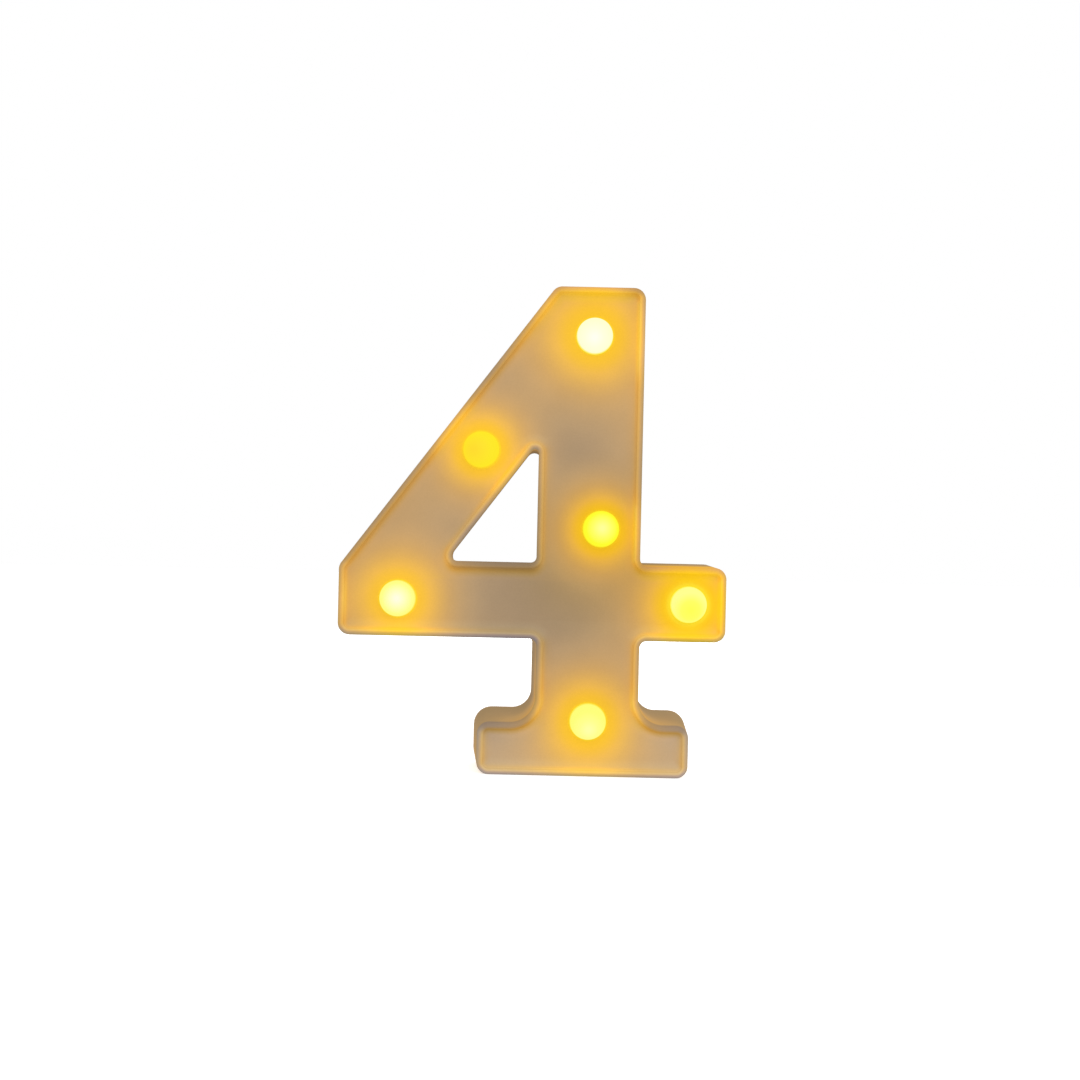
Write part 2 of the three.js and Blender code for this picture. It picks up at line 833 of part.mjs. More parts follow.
function coilSpring() {
  const steps = springTurns * springStepsPerTurn;
  const positions = [];
  for (let s = 0; s <= steps; s++) {
    const centre = springCentre(s / steps);
    const outwards = new THREE.Vector3(centre.x, centre.y, 0).normalize();
    for (let k = 0; k < springSides; k++) {
      const angle = (2 * Math.PI * k) / springSides;
      const point = centre.clone().addScaledVector(outwards, (Math.cos(angle) * springWire) / 2);
      point.z += (Math.sin(angle) * springWire) / 2;
      positions.push(point.x, point.y, point.z);
    }
  }
  const index = [];
  for (let s = 0; s < steps; s++) {
    for (let k = 0; k < springSides; k++) {
      const next = (k + 1) % springSides;
      const near = s * springSides;
      const far = near + springSides;
      index.push(near + k, far + next, near + next, near + k, far + k, far + next);
    }
  }
  const last = steps * springSides;
  for (let k = 1; k + 1 < springSides; k++) {
    index.push(0, k, k + 1, last, last + k + 1, last + k);
  }
  const geometry = new THREE.BufferGeometry();
  geometry.setAttribute("position", new THREE.Float32BufferAttribute(positions, 3));
  geometry.setIndex(index);
  return solidOf(geometry);
}

// Least gap between one turn of the spring and the next, measured on points of its middle line
function springGap() {
  const samples = springTurns * springStepsPerTurn;
  const points = Array.from({ length: samples + 1 }, (_, i) => springCentre(i / samples));
  let least = Infinity;
  points.forEach((a, i) =>
    points.slice(i + springStepsPerTurn / 2).forEach((b) => {
      least = Math.min(least, a.distanceTo(b) - springWire);
    }),
  );
  return least;
}

console.log("least gap in a contact spring: " + springGap().toFixed(2) + " mm");

// Battery door: a plate with two hinge tabs below, a fixed spring leg above, and grip grooves

function batteryDoor() {
  const plate = block(
    stemMiddle - doorHalfWidth,
    stemMiddle + doorHalfWidth,
    coverInner,
    back,
    doorLow,
    doorHigh,
  );
  const tabs = [-1, 1].map((side) => {
    const inner = stemMiddle + side * tabShift;
    const outer = stemMiddle + side * (bayHalfWidth - clearance);
    const x0 = Math.min(inner, outer);
    const x1 = Math.max(inner, outer);
    const root = block(x0, x1, tabBottom, coverInner + coverThickness / 2, doorLow, bayLow);
    return root.add(block(x0, x1, tabBottom, tabTop, doorLow - hingeTabReach, bayLow));
  });
  const leg = block(
    stemMiddle - latchWidth / 2,
    stemMiddle + latchWidth / 2,
    latchPivot - latchThickness / 2,
    coverInner + coverThickness / 2,
    latchPocketLow + clearance,
    springLegHigh,
  );
  const foot = block(
    stemMiddle - latchWidth / 2,
    stemMiddle + latchWidth / 2,
    latchPivot - latchThickness / 2,
    latchPivot + latchThickness / 2,
    latchPocketLow + clearance,
    latchInner - clearance,
  );
  const latchGap = block(
    stemMiddle - latchWidth / 2 - clearance,
    stemMiddle + latchWidth / 2 + clearance,
    coverInner - clearance,
    back + overrun,
    springLegHigh + clearance,
    doorHigh + overrun,
  );
  const grooves = Array.from({ length: gripGrooves }, (_, i) => {
    const z = latchPocketLow - (i + 1) * gripGroovePitch;
    return block(
      stemMiddle - gripGrooveLength / 2,
      stemMiddle + gripGrooveLength / 2,
      back - gripGrooveDepth,
      back + overrun,
      z - gripGrooveWidth / 2,
      z + gripGrooveWidth / 2,
    );
  });
  return cut(join([plate, ...tabs, leg, foot]), [latchGap, ...grooves]);
}

function doorLatch() {
  const x0 = stemMiddle - latchWidth / 2;
  const x1 = stemMiddle + latchWidth / 2;
  const noseTop = coverInner - latchNoseDrop;
  const leg = block(x0, x1, latchPivot - latchThickness / 2, back, latchInner, latchOuter);
  return leg.add(block(x0, x1, noseTop - latchNoseHeight, noseTop, latchInner, doorHigh));
}

// Slide switch: an eared plate with a can and three pins, two screws, and the knob

function switchBody() {
  const halfPlate = switchPlateLength / 2;
  const halfCan = switchCanLength / 2;
  const halfWidth = switchPlateWidth / 2;
  const plate = block(-halfPlate, halfPlate, switchPlateBottom, switchPlateTop, -halfWidth, halfWidth);
  const can = block(-halfCan, halfCan, switchCanBottom, switchPlateTop, -halfWidth, halfWidth);
  const pins = [-1, 0, 1].map((i) => {
    const x = i * switchPinPitch;
    const half = switchPinThickness / 2;
    return block(x - half, x + half, switchPinEnd, switchCanBottom + switchPlateThickness, -half, half);
  });
  const holes = [-1, 1].map((side) =>
    bar(
      switchScrewDiameter + 2 * clearance,
      switchPlateBottom - overrun,
      switchPlateTop + overrun,
      side * switchScrewShift,
      0,
    ),
  );
  return cut(join([plate, can, ...pins]), holes);
}

function switchKnob() {
  const halfLength = knobLength / 2;
  const halfWidth = knobWidth / 2;
  const stud = block(-halfLength, halfLength, knobFloor, knobTop, -halfWidth, halfWidth);
  const pitch = knobLength / (knobGrooves + 1);
  const grooves = Array.from({ length: knobGrooves }, (_, i) => {
    const x = pitch * (i + 1) - halfLength;
    const half = knobGrooveWidth / 2;
    return block(x - half, x + half, knobTop - knobGrooveDepth, back + overrun, -knobWidth, knobWidth);
  });
  return cut(stud, grooves);
}

// Wires

const point = (x, y, z) => new THREE.Vector3(x, y, z);

// Lanes for the wires, halfway between a screw boss and the wall beside it
const laneShift = (width) => (bossDiameter / 2 + width / 2 - wall) / 2;
const slantLane = slantScrew.clone().addScaledVector(slantAcross, laneShift(strokeWidth));
const armHighLane = crossbarMiddle + laneShift(crossbarHeight);
const armLowLane = crossbarMiddle - laneShift(crossbarHeight);
const [, , leftBulb, stemBulb, armBulb] = bulbPlaces;
const armScrew = screwPlaces[3];
const stemLane = (stemMiddle + stemRight) / 2;

// Each link leaves one LED by its left (-1) or right (1) lead and runs through places seen
// from the front to a lead of the next LED
const linkRoutes = [
  { leaves: -1, arrives: 1, through: slantWireShares.map((share) => onSlant(share).toArray()) },
  { leaves: -1, arrives: -1, through: [slantLane.toArray(), [leftBulb.x, shoulder]] },
  { leaves: 1, arrives: -1, through: [[stemLeft, crossbarMiddle]] },
  { leaves: 1, arrives: -1, through: [[stemLane, armHighLane], [armScrew.x, armHighLane]] },
  {
    leaves: 1,
    arrives: 1,
    through: [[armBulb.x, armLowLane], [armScrew.x, armLowLane], [stemLane, armLowLane]],
  },
];

const leadReach = (ledLeadPitch + ledLeadThickness) / 2;
const linkStart = leadReach + clearance + wireDiameter / 2;

// The point beside an LED's left or right lead where a wire ends
const besideLed = ({ x, z }, side) => point(x + side * linkStart, wirePlane, z);

function harnessLink(from, to, { leaves, arrives, through }) {
  const middle = through.map(([x, z]) => point(x, wirePlane, z));
  return wireAlong([besideLed(from, leaves), ...middle, besideLed(to, arrives)], wireDiameter);
}

const positiveTab = stemMiddle + cellPitch / 2;
const negativeTab = stemMiddle - cellPitch / 2;
const contactPlane = bayHigh - clearance - contactThickness;
const tabEnd = bayBottom - tabReach - clearance - leadWireDiameter / 2;
const pinEnd = switchPinEnd - clearance - leadWireDiameter / 2;
const resistorX = stemMiddle - switchPinPitch;
const resistorLow = resistorHeight - resistorLength / 2 - resistorLeadLength;
const resistorHigh = resistorHeight + resistorLength / 2 + resistorLeadLength;
const leadPlane = wirePlane + wireDiameter + clearance; // behind the links' ends
const pocketLane = (stemMiddle + latchPocketHalfWidth + bayLedge + stemRight - wall) / 2;

// From the positive contact up to the switch's outer pin
function positiveLead() {
  return wireAlong(
    [
      point(positiveTab, tabEnd, contactPlane),
      point(pocketLane, tabEnd, latchPocketHigh),
      point(pocketLane, pinEnd, (latchPocketHigh + switchHeight) / 2),
      point(stemMiddle + switchPinPitch, pinEnd, switchHeight - clearance - leadWireDiameter),
    ],
    leadWireDiameter,
  );
}

// From the switch's middle pin to the resistor
function switchedLead() {
  return wireAlong(
    [
      point(stemMiddle, pinEnd, switchHeight),
      point((stemMiddle + resistorX) / 2, pinEnd, (switchHeight + resistorHigh) / 2),
      point(resistorX, pinEnd, resistorHigh + clearance + leadWireDiameter / 2),
    ],
    leadWireDiameter,
  );
}

// From the resistor down to the LED in the middle of the stem
function resistorLead() {
  return wireAlong(
    [
      point(resistorX, pinEnd, resistorLow - clearance - leadWireDiameter / 2),
      point(stemBulb.x, tabEnd, resistorLow),
      point(stemBulb.x + linkStart, leadPlane, stemBulb.z),
    ],
    leadWireDiameter,
  );
}

// From the negative contact up to the LED in the middle of the stem
function negativeLead() {
  return wireAlong(
    [
      point(negativeTab, tabEnd, contactPlane),
      point(negativeTab + tabWidth / 2, tabEnd, (contactPlane + stemBulb.z) / 2),
      point(stemBulb.x - linkStart, leadPlane, stemBulb.z),
    ],
    leadWireDiameter,
  );
}

function resistor() {
  const bodyRadius = resistorDiameter / 2;
  const leadRadius = resistorLeadDiameter / 2;
  const half = resistorLength / 2;
  const neck = leadRadius + (bodyRadius - leadRadius) / 2;
  const end = half + resistorLeadLength;
  const profile = [
    [0, -end],
    [leadRadius, -end],
    [leadRadius, -half],
    [bodyRadius, neck - half],
    [bodyRadius, half - neck],
    [leadRadius, half],
    [leadRadius, end],
    [0, end],
  ];
  const points = profile.map(([r, y]) => new THREE.Vector2(r, y));
  return solidOf(new THREE.LatheGeometry(points, smallSides).rotateX(Math.PI / 2));
}

// Assemblies

function placed(mesh, x, y, z) {
  mesh.position.set(x, y, z);
  return mesh;
}

function lightAssembly() {
  const group = new THREE.Group();
  const cap = bulbCap();
  const ledSolid = led();
  const holder = ledHolder();
  bulbPlaces.forEach(({ x, z }, i) => {
    const number = i + 1;
    group.add(placed(piece("bulb_cap_" + number, cap, bulbPlastic()), x, 0, z));
    group.add(placed(piece("led_" + number, ledSolid, ledEpoxy()), x, 0, z));
    group.add(placed(piece("led_holder_" + number, holder, whitePlastic()), x, 0, z));
  });
  linkRoutes.forEach((route, i) => {
    const link = harnessLink(bulbPlaces[i], bulbPlaces[i + 1], route);
    group.add(piece("harness_link_" + (i + 1), link, wirePlastic()));
  });
  return group;
}

function powerAssembly() {
  const group = new THREE.Group();
  const cellX = cellPitch / 2;
  const lowContact = bayLow + clearance;
  const lowSpring = lowContact + endStack;
  const cellOverSpring = lowSpring + springLength + clearance;
  const cellOnPlate = lowContact + endStack;
  const upright = piece("battery_cell_1", batteryCell(), cellWrap());
  group.add(placed(upright, stemMiddle + cellX, cellAxis, cellOverSpring));
  const upturned = piece("battery_cell_2", batteryCell(), cellWrap());
  upturned.rotation.x = Math.PI;
  group.add(placed(upturned, stemMiddle - cellX, cellAxis, cellOnPlate + cellLength));
  group.add(placed(piece("bridge_contact", bridgePlate(), nickel()), stemMiddle, 0, lowContact));
  group.add(placed(piece("bridge_spring", coilSpring(), steel()), stemMiddle + cellX, cellAxis, lowSpring));
  group.add(placed(piece("positive_contact", contactPlate(), nickel()), positiveTab, 0, contactPlane));
  group.add(placed(piece("negative_contact", contactPlate(), nickel()), negativeTab, 0, contactPlane));
  const highSpring = contactPlane - clearance - springLength;
  group.add(placed(piece("negative_spring", coilSpring(), steel()), negativeTab, cellAxis, highSpring));
  group.add(piece("positive_lead", positiveLead(), redPlastic()));
  group.add(piece("switched_lead", switchedLead(), redPlastic()));
  group.add(piece("resistor_lead", resistorLead(), redPlastic()));
  group.add(piece("negative_lead", negativeLead(), blackPlastic()));
  group.add(placed(piece("resistor", resistor(), resistorCoat()), resistorX, pinEnd, resistorHeight));
  return group;
}

function switchAssembly() {
  const group = new THREE.Group();
  group.position.set(stemMiddle, 0, switchHeight);
  group.add(piece("switch_body", switchBody(), steel()));
  group.add(placed(piece("switch_knob", switchKnob(), blackPlastic()), knobAtOn - stemMiddle, 0, 0));
  const length = switchPlateThickness + clearance + switchScrewGrip;
  [-1, 1].forEach((side, i) => {
    const solid = screw(switchScrewHeadDiameter, switchScrewHeadHeight, switchScrewDiameter, length);
    const mesh = piece("switch_screw_" + (i + 1), solid, steel());
    mesh.rotation.x = Math.PI;
    group.add(placed(mesh, side * switchScrewShift, switchPlateBottom - clearance, 0));
  });
  return group;
}

function coverAssembly() {
  const group = new THREE.Group();
  group.add(piece("back_cover", backCover(), coverPlastic()));
  group.add(piece("battery_door", batteryDoor(), coverPlastic()));
  group.add(piece("door_latch", doorLatch(), coverPlastic()));
  const coverScrew = screw(screwHeadDiameter, screwHeadHeight, screwDiameter, screwLength);
  screwPlaces.forEach(({ x, z }, i) => {
    const mesh = piece("cover_screw_" + (i + 1), coverScrew, steel());
    group.add(placed(mesh, x, wellFloor + clearance, z));
  });
  return group;
}

function marqueeNumber() {
  const number = new THREE.Group();
  number.add(piece("front_shell", frontShell(), shellPlastic()));
  number.add(coverAssembly(), lightAssembly(), powerAssembly(), switchAssembly());
  return number;
}

export default marqueeNumber();
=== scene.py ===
import json
import math
from collections import namedtuple

import bmesh
import bpy
from mathutils import Matrix, Vector
from mathutils.geometry import tessellate_polygon

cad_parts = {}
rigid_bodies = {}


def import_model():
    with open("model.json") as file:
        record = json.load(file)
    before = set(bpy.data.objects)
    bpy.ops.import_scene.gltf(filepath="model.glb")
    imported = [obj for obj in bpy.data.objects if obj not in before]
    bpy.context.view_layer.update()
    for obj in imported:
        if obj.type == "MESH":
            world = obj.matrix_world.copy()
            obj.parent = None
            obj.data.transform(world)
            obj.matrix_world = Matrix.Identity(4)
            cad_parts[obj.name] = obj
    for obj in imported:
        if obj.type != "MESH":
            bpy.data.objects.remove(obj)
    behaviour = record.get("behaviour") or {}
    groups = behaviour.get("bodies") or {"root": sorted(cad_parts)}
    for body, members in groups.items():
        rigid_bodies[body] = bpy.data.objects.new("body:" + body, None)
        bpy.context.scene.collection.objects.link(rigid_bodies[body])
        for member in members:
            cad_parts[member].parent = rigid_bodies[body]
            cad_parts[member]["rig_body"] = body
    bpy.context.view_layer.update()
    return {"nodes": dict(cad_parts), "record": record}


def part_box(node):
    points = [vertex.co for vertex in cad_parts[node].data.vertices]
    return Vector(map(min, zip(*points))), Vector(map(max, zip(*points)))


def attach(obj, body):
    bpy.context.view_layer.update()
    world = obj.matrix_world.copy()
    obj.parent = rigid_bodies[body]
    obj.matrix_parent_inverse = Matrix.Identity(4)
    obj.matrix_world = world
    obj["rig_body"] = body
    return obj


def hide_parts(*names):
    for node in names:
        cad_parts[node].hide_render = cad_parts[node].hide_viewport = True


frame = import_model()
nodes = frame["nodes"]

MM = 0.001

# The number's outline at its front edge, and its depth from the rim's crest to the back edge
HEIGHT = 160.0
WIDTH = 126.7
DEPTH = 30.0
TOP_WIDTH = 29.1
STEM_WIDTH = 33.5
LOWER_STEM_SHIFT = 0.4
ARM_REACH = 28.4
CROSSBAR_TOP = 69.0
CROSSBAR_HEIGHT = 24.3
SHOULDER_DROP = 1.7
STROKE_WIDTH = 26.7
FOOT_HEIGHT = 16.9
FOOT_LEFT_REACH = 18.4
FOOT_RIGHT_REACH = 17.0
CORNER_RADIUS = 3.8
NOOK_RADIUS = 2.5
FOOT_FILLET = 8.5
SMALLEST_RADIUS = 0.3
CORNER_STEPS = 8
FILLET_STEPS = 16

# The triangular gap: its lower side over the crossbar's top, its upright side left of the stem's
GAP_RISE = 0.6
GAP_INSET = 0.4
GAP_RADIUS = 1.8
GAP_TIP_RADIUS = 1.2

# How much further out the walls are at the back: round the outline, on the foot's ends and top,
# in the gap, and on the gap's slanted side; the foot's underside is straight
DRAFT = 1.5
FOOT_DRAFT = 2.4
GAP_DRAFT = 1.3
GAP_SLANT_DRAFT = 1.5

# The shell's section, from the rim's crest to the back edge
WALL = 1.8
RIM_WIDTH = 2.0
RIM_HEIGHT = 2.0
FACE_THICKNESS = 2.0
LIP_RADIUS = 1.5
CREST_RADIUS = 0.3
FACE_FILLET = 0.4
BACK_EDGE = 0.3
LIP_STEPS = 8
SMALL_STEPS = 4
# The rings of points on the wall, as shares of its depth, and on the face, by how far in
WALL_STATIONS = (0.8, 0.6, 0.4, 0.2, 0.08)
FACE_RINGS = (2.7, 3.1, 3.6, 4.2, 4.9, 5.7)
# Straight edges have extra points this far apart near their corners, and the way that an edge
# faces is smoothed over the second length to either side
POINT_GAP = 2.0
CORNER_BLEND = 3.0

# Bulb caps, and the collars and screw bosses behind the face
CLEARANCE = 0.3
BULB_RADIUS = 6.0
BULB_RISE = 5.0
BULB_GAP = 0.03
CAP_WALL = 1.2
CAP_FLANGE_REACH = 1.3
CAP_FLANGE_THICKNESS = 1.0
COLLAR_WALL = 1.2
COLLAR_DEPTH = 5.0
BOSS_RADIUS = 3.0
PILOT_RADIUS = 1.4
PILOT_DEPTH = 9.0
COVER_THICKNESS = 1.6
WELL_DEPTH = 5.6
BULB_SIDES = 64
BOSS_SIDES = 32
DOME_STEPS = 18
BULB_NAMES = ["bulb_cap_%d" % number for number in range(1, 7)]
SCREW_NAMES = ["cover_screw_%d" % number for number in range(1, 7)]

# Small parts behind
LEAD_LENGTH = 4.0
SPRING_WIRE = 0.5
SPRING_TURNS = 3
SPRING_STEPS = 28
SPRING_SIDES = 10
DISH_DEPTH = 0.7
MARK_HEIGHT = 2.3
MARK_RISE = 0.3
MARK_SHIFT = 5.2

# How far the edges are rounded on the pieces that get a finer copy, by slot
EDGE_WIDTHS = {
    "cover": 0.25, "knob": 0.15, "screw_steel": 0.08, "holder": 0.15, "cell_wrap": 0.2,
    "contact_plate": 0.08, "switch_can": 0.12,
}

# Worked out from the sizes above
RIGHT = WIDTH / 2
LEFT = -RIGHT
STEM_RIGHT = RIGHT - ARM_REACH
STEM_LEFT = STEM_RIGHT - STEM_WIDTH
LOWER_STEM_RIGHT = STEM_RIGHT + LOWER_STEM_SHIFT
LOWER_STEM_LEFT = STEM_LEFT + LOWER_STEM_SHIFT
TOP_LEFT = STEM_RIGHT - TOP_WIDTH
SHOULDER = CROSSBAR_TOP - SHOULDER_DROP
CROSSBAR_BOTTOM = CROSSBAR_TOP - CROSSBAR_HEIGHT
FOOT_LEFT = STEM_LEFT - FOOT_LEFT_REACH
FOOT_RIGHT = STEM_RIGHT + FOOT_RIGHT_REACH
BACK = (DEPTH + BULB_RISE - RIM_HEIGHT) / 2
FRONT = BACK - DEPTH
FACE_FRONT = FRONT + RIM_HEIGHT
FACE_BACK = FACE_FRONT + FACE_THICKNESS
COLLAR_INNER = BULB_RADIUS + CAP_FLANGE_REACH + CLEARANCE
COLLAR_OUTER = COLLAR_INNER + COLLAR_WALL
BOSS_BACK = BACK - COVER_THICKNESS - WELL_DEPTH
DISH_FLOOR = BACK - DISH_DEPTH

# Points nearer than this are one. A finer copy drops the edges that bend by less than the flat
# angle, in degrees, and rounds those that bend by more than the sharp angle. Edges that bend by
# more than that, or by more than the last angle on a finer copy, are shaded as sharp.
SAME_PLACE = 1e-6
FLAT_ANGLE = 0.2
SHARP_ANGLE = 35
ROUNDED_SHARP_ANGLE = 20

# What the skin's two values hold: millimetres in from the edge, or one of these, and how far a
# point faces up, from -1 to 1
ON_WALL = -1
ON_GAP_WALL = -2
PAST_RIM = FACE_RINGS[-1] + 1
# The gap's lower rim has a wider painted shadow band than the outline's, and a less dark one
GAP_RIM_STRETCH = 0.25
GAP_UPWARD_SHARE = 0.72


# An outline's corner; the edge that starts there moves out by its flare from front to back
Corner = namedtuple("Corner", "x z radius flare steps", defaults=(CORNER_STEPS,))
# A closed outline, anticlockwise from the front; side is 1 with its material inside, else -1
Form = namedtuple("Form", "side corners")


def number_outline():
    return Form(1, (
        Corner(FOOT_LEFT, 0, CORNER_RADIUS, 0),
        Corner(FOOT_RIGHT, 0, CORNER_RADIUS, FOOT_DRAFT),
        Corner(FOOT_RIGHT, FOOT_HEIGHT, CORNER_RADIUS, FOOT_DRAFT),
        Corner(LOWER_STEM_RIGHT, FOOT_HEIGHT, FOOT_FILLET, DRAFT, FILLET_STEPS),
        Corner(LOWER_STEM_RIGHT, CROSSBAR_BOTTOM, NOOK_RADIUS, DRAFT),
        Corner(RIGHT, CROSSBAR_BOTTOM, CORNER_RADIUS, DRAFT),
        Corner(RIGHT, CROSSBAR_TOP, CORNER_RADIUS, DRAFT),
        Corner(STEM_RIGHT, CROSSBAR_TOP, NOOK_RADIUS, DRAFT),
        Corner(STEM_RIGHT, HEIGHT, CORNER_RADIUS, DRAFT),
        Corner(TOP_LEFT, HEIGHT, CORNER_RADIUS, DRAFT),
        Corner(LEFT, SHOULDER, CORNER_RADIUS, DRAFT),
        Corner(LEFT, CROSSBAR_BOTTOM, CORNER_RADIUS, DRAFT),
        Corner(LOWER_STEM_LEFT, CROSSBAR_BOTTOM, NOOK_RADIUS, DRAFT),
        Corner(LOWER_STEM_LEFT, FOOT_HEIGHT, FOOT_FILLET, FOOT_DRAFT, FILLET_STEPS),
        Corner(FOOT_LEFT, FOOT_HEIGHT, CORNER_RADIUS, FOOT_DRAFT),
    ))


def slanted_inner_line():
    """A point on the slanted stroke's inner edge, and the way down along it."""
    top = Vector((TOP_LEFT, HEIGHT))
    down = (Vector((LEFT, SHOULDER)) - top).normalized()
    across = Vector((-down.y, down.x))
    return top + across * STROKE_WIDTH, down


def triangle_gap():
    point, down = slanted_inner_line()
    bottom = CROSSBAR_TOP + GAP_RISE
    right = STEM_LEFT - GAP_INSET
    left = point.x + down.x * (bottom - point.y) / down.y
    tip = point.y + down.y * (right - point.x) / down.x
    return Form(-1, (
        Corner(left, bottom, GAP_RADIUS, GAP_DRAFT),
        Corner(right, bottom, GAP_RADIUS, GAP_DRAFT),
        Corner(right, tip, GAP_TIP_RADIUS, GAP_SLANT_DRAFT),
    ))


def corner_arc(form, i, inset, share):
    """The rounded corner i of a form, set into its material, at a share of the way back."""
    corner = form.corners[i]
    before = form.corners[i - 1]
    after = form.corners[(i + 1) % len(form.corners)]
    into = Vector((corner.x - before.x, corner.z - before.z)).normalized()
    away = Vector((after.x - corner.x, after.z - corner.z)).normalized()
    turn = into.x * away.y - into.y * away.x
    spread_in = before.flare * share - form.side * inset
    spread_out = corner.flare * share - form.side * inset
    tip = Vector((corner.x, corner.z)) + into * (spread_out / turn) - away * (spread_in / turn)
    bend = math.atan2(turn, into.dot(away))
    way = math.copysign(1, turn)
    radius = max(corner.radius + way * (spread_in + spread_out) / 2, SMALLEST_RADIUS)
    start = tip - into * (radius * math.tan(abs(bend) / 2))
    centre = start + Vector((-into.y, into.x)) * (way * radius)
    spoke = start - centre
    return [
        centre + Matrix.Rotation(bend * k / corner.steps, 2) @ spoke
        for k in range(corner.steps + 1)
    ]


def ring(form, inset, y):
    """Points round a form at depth y, set into its material: an arc at each corner, as in the
    CAD model, and two points near each end of the edges between them."""
    share = (y - FRONT) / DEPTH
    arcs = [corner_arc(form, i, inset, share) for i in range(len(form.corners))]
    points = []
    for arc, next_arc in zip(arcs, arcs[1:] + arcs[:1]):
        edge = next_arc[0] - arc[-1]
        # a fifth at most, so that the four points stay in order
        step = min(POINT_GAP / edge.length, 1 / 5)
        points += arc
        points += [arc[-1] + edge * part for part in (step, 2 * step, 1 - 2 * step, 1 - step)]
    return points


def point_along(points, start, reach):
    """The point that lies reach further along a ring of points, or back along it."""
    step = 1 if reach > 0 else -1
    left = abs(reach)
    i = start
    while True:
        here = points[i]
        i = (i + step) % len(points)
        edge = points[i] - here
        if edge.length >= left:
            return here + edge * (left / edge.length)
        left -= edge.length


def quarter(count, y_of, inset_of):
    """Stations of a quarter round, as (y, inset)."""
    stations = []
    for k in range(1, count + 1):
        angle = math.pi / 2 * k / count
        stations.append((y_of(angle), inset_of(angle)))
    return stations


def shell_stations():
    """From the inner face, round the back edge, up the wall, over the rim and onto the face."""
    lip = FRONT + LIP_RADIUS
    crest = RIM_WIDTH - CREST_RADIUS
    foot = FACE_FRONT - FACE_FILLET
    edge = BACK - BACK_EDGE
    stations = [(FACE_BACK, WALL), (edge, WALL), (BACK, WALL - BACK_EDGE), (BACK, BACK_EDGE)]
    stations += quarter(SMALL_STEPS, lambda a: BACK - BACK_EDGE * (1 - math.cos(a)),
                        lambda a: BACK_EDGE * (1 - math.sin(a)))
    stations += [(lip + (edge - lip) * share, 0) for share in WALL_STATIONS]
    stations.append((lip, 0))
    stations += quarter(LIP_STEPS, lambda a: lip - LIP_RADIUS * math.sin(a),
                        lambda a: LIP_RADIUS * (1 - math.cos(a)))
    stations.append((FRONT, crest))
    stations += quarter(SMALL_STEPS, lambda a: FRONT + CREST_RADIUS * (1 - math.cos(a)),
                        lambda a: crest + CREST_RADIUS * math.sin(a))
    stations.append((foot, RIM_WIDTH))
    stations += quarter(SMALL_STEPS, lambda a: foot + FACE_FILLET * math.sin(a),
                        lambda a: RIM_WIDTH + FACE_FILLET * (1 - math.cos(a)))
    stations += [(FACE_FRONT, inset) for inset in FACE_RINGS]
    return stations


def centres_of(names):
    """The middles of some CAD nodes, as (x, z) in millimetres."""
    centres = []
    for name in names:
        low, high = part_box(name)
        centres.append(((low.x + high.x) / 2 / MM, (low.z + high.z) / 2 / MM))
    return centres


def linked(obj):
    bpy.context.scene.collection.objects.link(obj)
    return obj


def mesh_object(name, bm, sharp_degrees=SHARP_ANGLE):
    mesh = bpy.data.meshes.new(name)
    bmesh.ops.recalc_face_normals(bm, faces=bm.faces)
    bm.to_mesh(mesh)
    bm.free()
    mesh.shade_smooth()
    mesh.set_sharp_from_angle(angle=math.radians(sharp_degrees))
    return linked(bpy.data.objects.new(name, mesh))


def circle(centre, radius, y, count=BULB_SIDES):
    points = []
    for k in range(count):
        angle = 2 * math.pi * k / count
        points.append(Vector((centre[0] + radius * math.cos(angle), y,
                              centre[1] + radius * math.sin(angle))))
    return points


def add_strip(bm, near, far):
    """Faces between two rings of the same number of points."""
    for i in range(len(near)):
        j = (i + 1) % len(near)
        bm.faces.new((near[i], near[j], far[j], far[i]))


def fill(bm, loops):
    """Flat faces inside the first loop and outside the others."""
    flat = [vert for loop in loops for vert in loop]
    for triangle in tessellate_polygon([[vert.co for vert in loop] for loop in loops]):
        bm.faces.new([flat[i] for i in triangle])


def lathe(bm, profile, centre, count=BULB_SIDES):
    """A surface turned about a line along Y through centre; a radius of zero is one point."""
    rings = []
    for radius, y in profile:
        if radius == 0:
            points = [Vector((centre[0], y, centre[1]))]
        else:
            points = circle(centre, radius, y, count)
        rings.append([bm.verts.new(point * MM) for point in points])
    for near, far in zip(rings, rings[1:]):
        if len(near) == 1:
            for i in range(count):
                bm.faces.new((near[0], far[(i + 1) % count], far[i]))
        elif len(far) == 1:
            for i in range(count):
                bm.faces.new((near[i], near[(i + 1) % count], far[0]))
        else:
            add_strip(bm, near, far)


def skin_ring(bm, form, inset, y):
    """One ring of the shell's skin, with its values for the material."""
    inward = bm.verts.layers.float["inward"]
    upward = bm.verts.layers.float["upward"]
    on_wall = y > FRONT + LIP_RADIUS + SAME_PLACE and inset <= WALL
    points = ring(form, inset, y)
    verts = []
    for i, point in enumerate(points):
        along = point_along(points, i, CORNER_BLEND) - point_along(points, i, -CORNER_BLEND)
        up = -form.side * along.normalized().x
        vert = bm.verts.new((point.x * MM, y * MM, point.y * MM))
        if form.side > 0:
            vert[inward] = ON_WALL if on_wall else inset
            vert[upward] = up
        else:
            stretch = 1 + GAP_RIM_STRETCH * max(up, 0)
            vert[inward] = ON_GAP_WALL if on_wall else inset / stretch
            vert[upward] = up * GAP_UPWARD_SHARE
        verts.append(vert)
    return verts


def bulb_hole(bm, centre):
    """A round hole through the face, as its loops at the back and at the front."""
    back, front = (
        [bm.verts.new(point * MM) for point in circle(centre, BULB_RADIUS + BULB_GAP, y)]
        for y in (FACE_BACK, FACE_FRONT)
    )
    add_strip(bm, back, front)
    return back, front


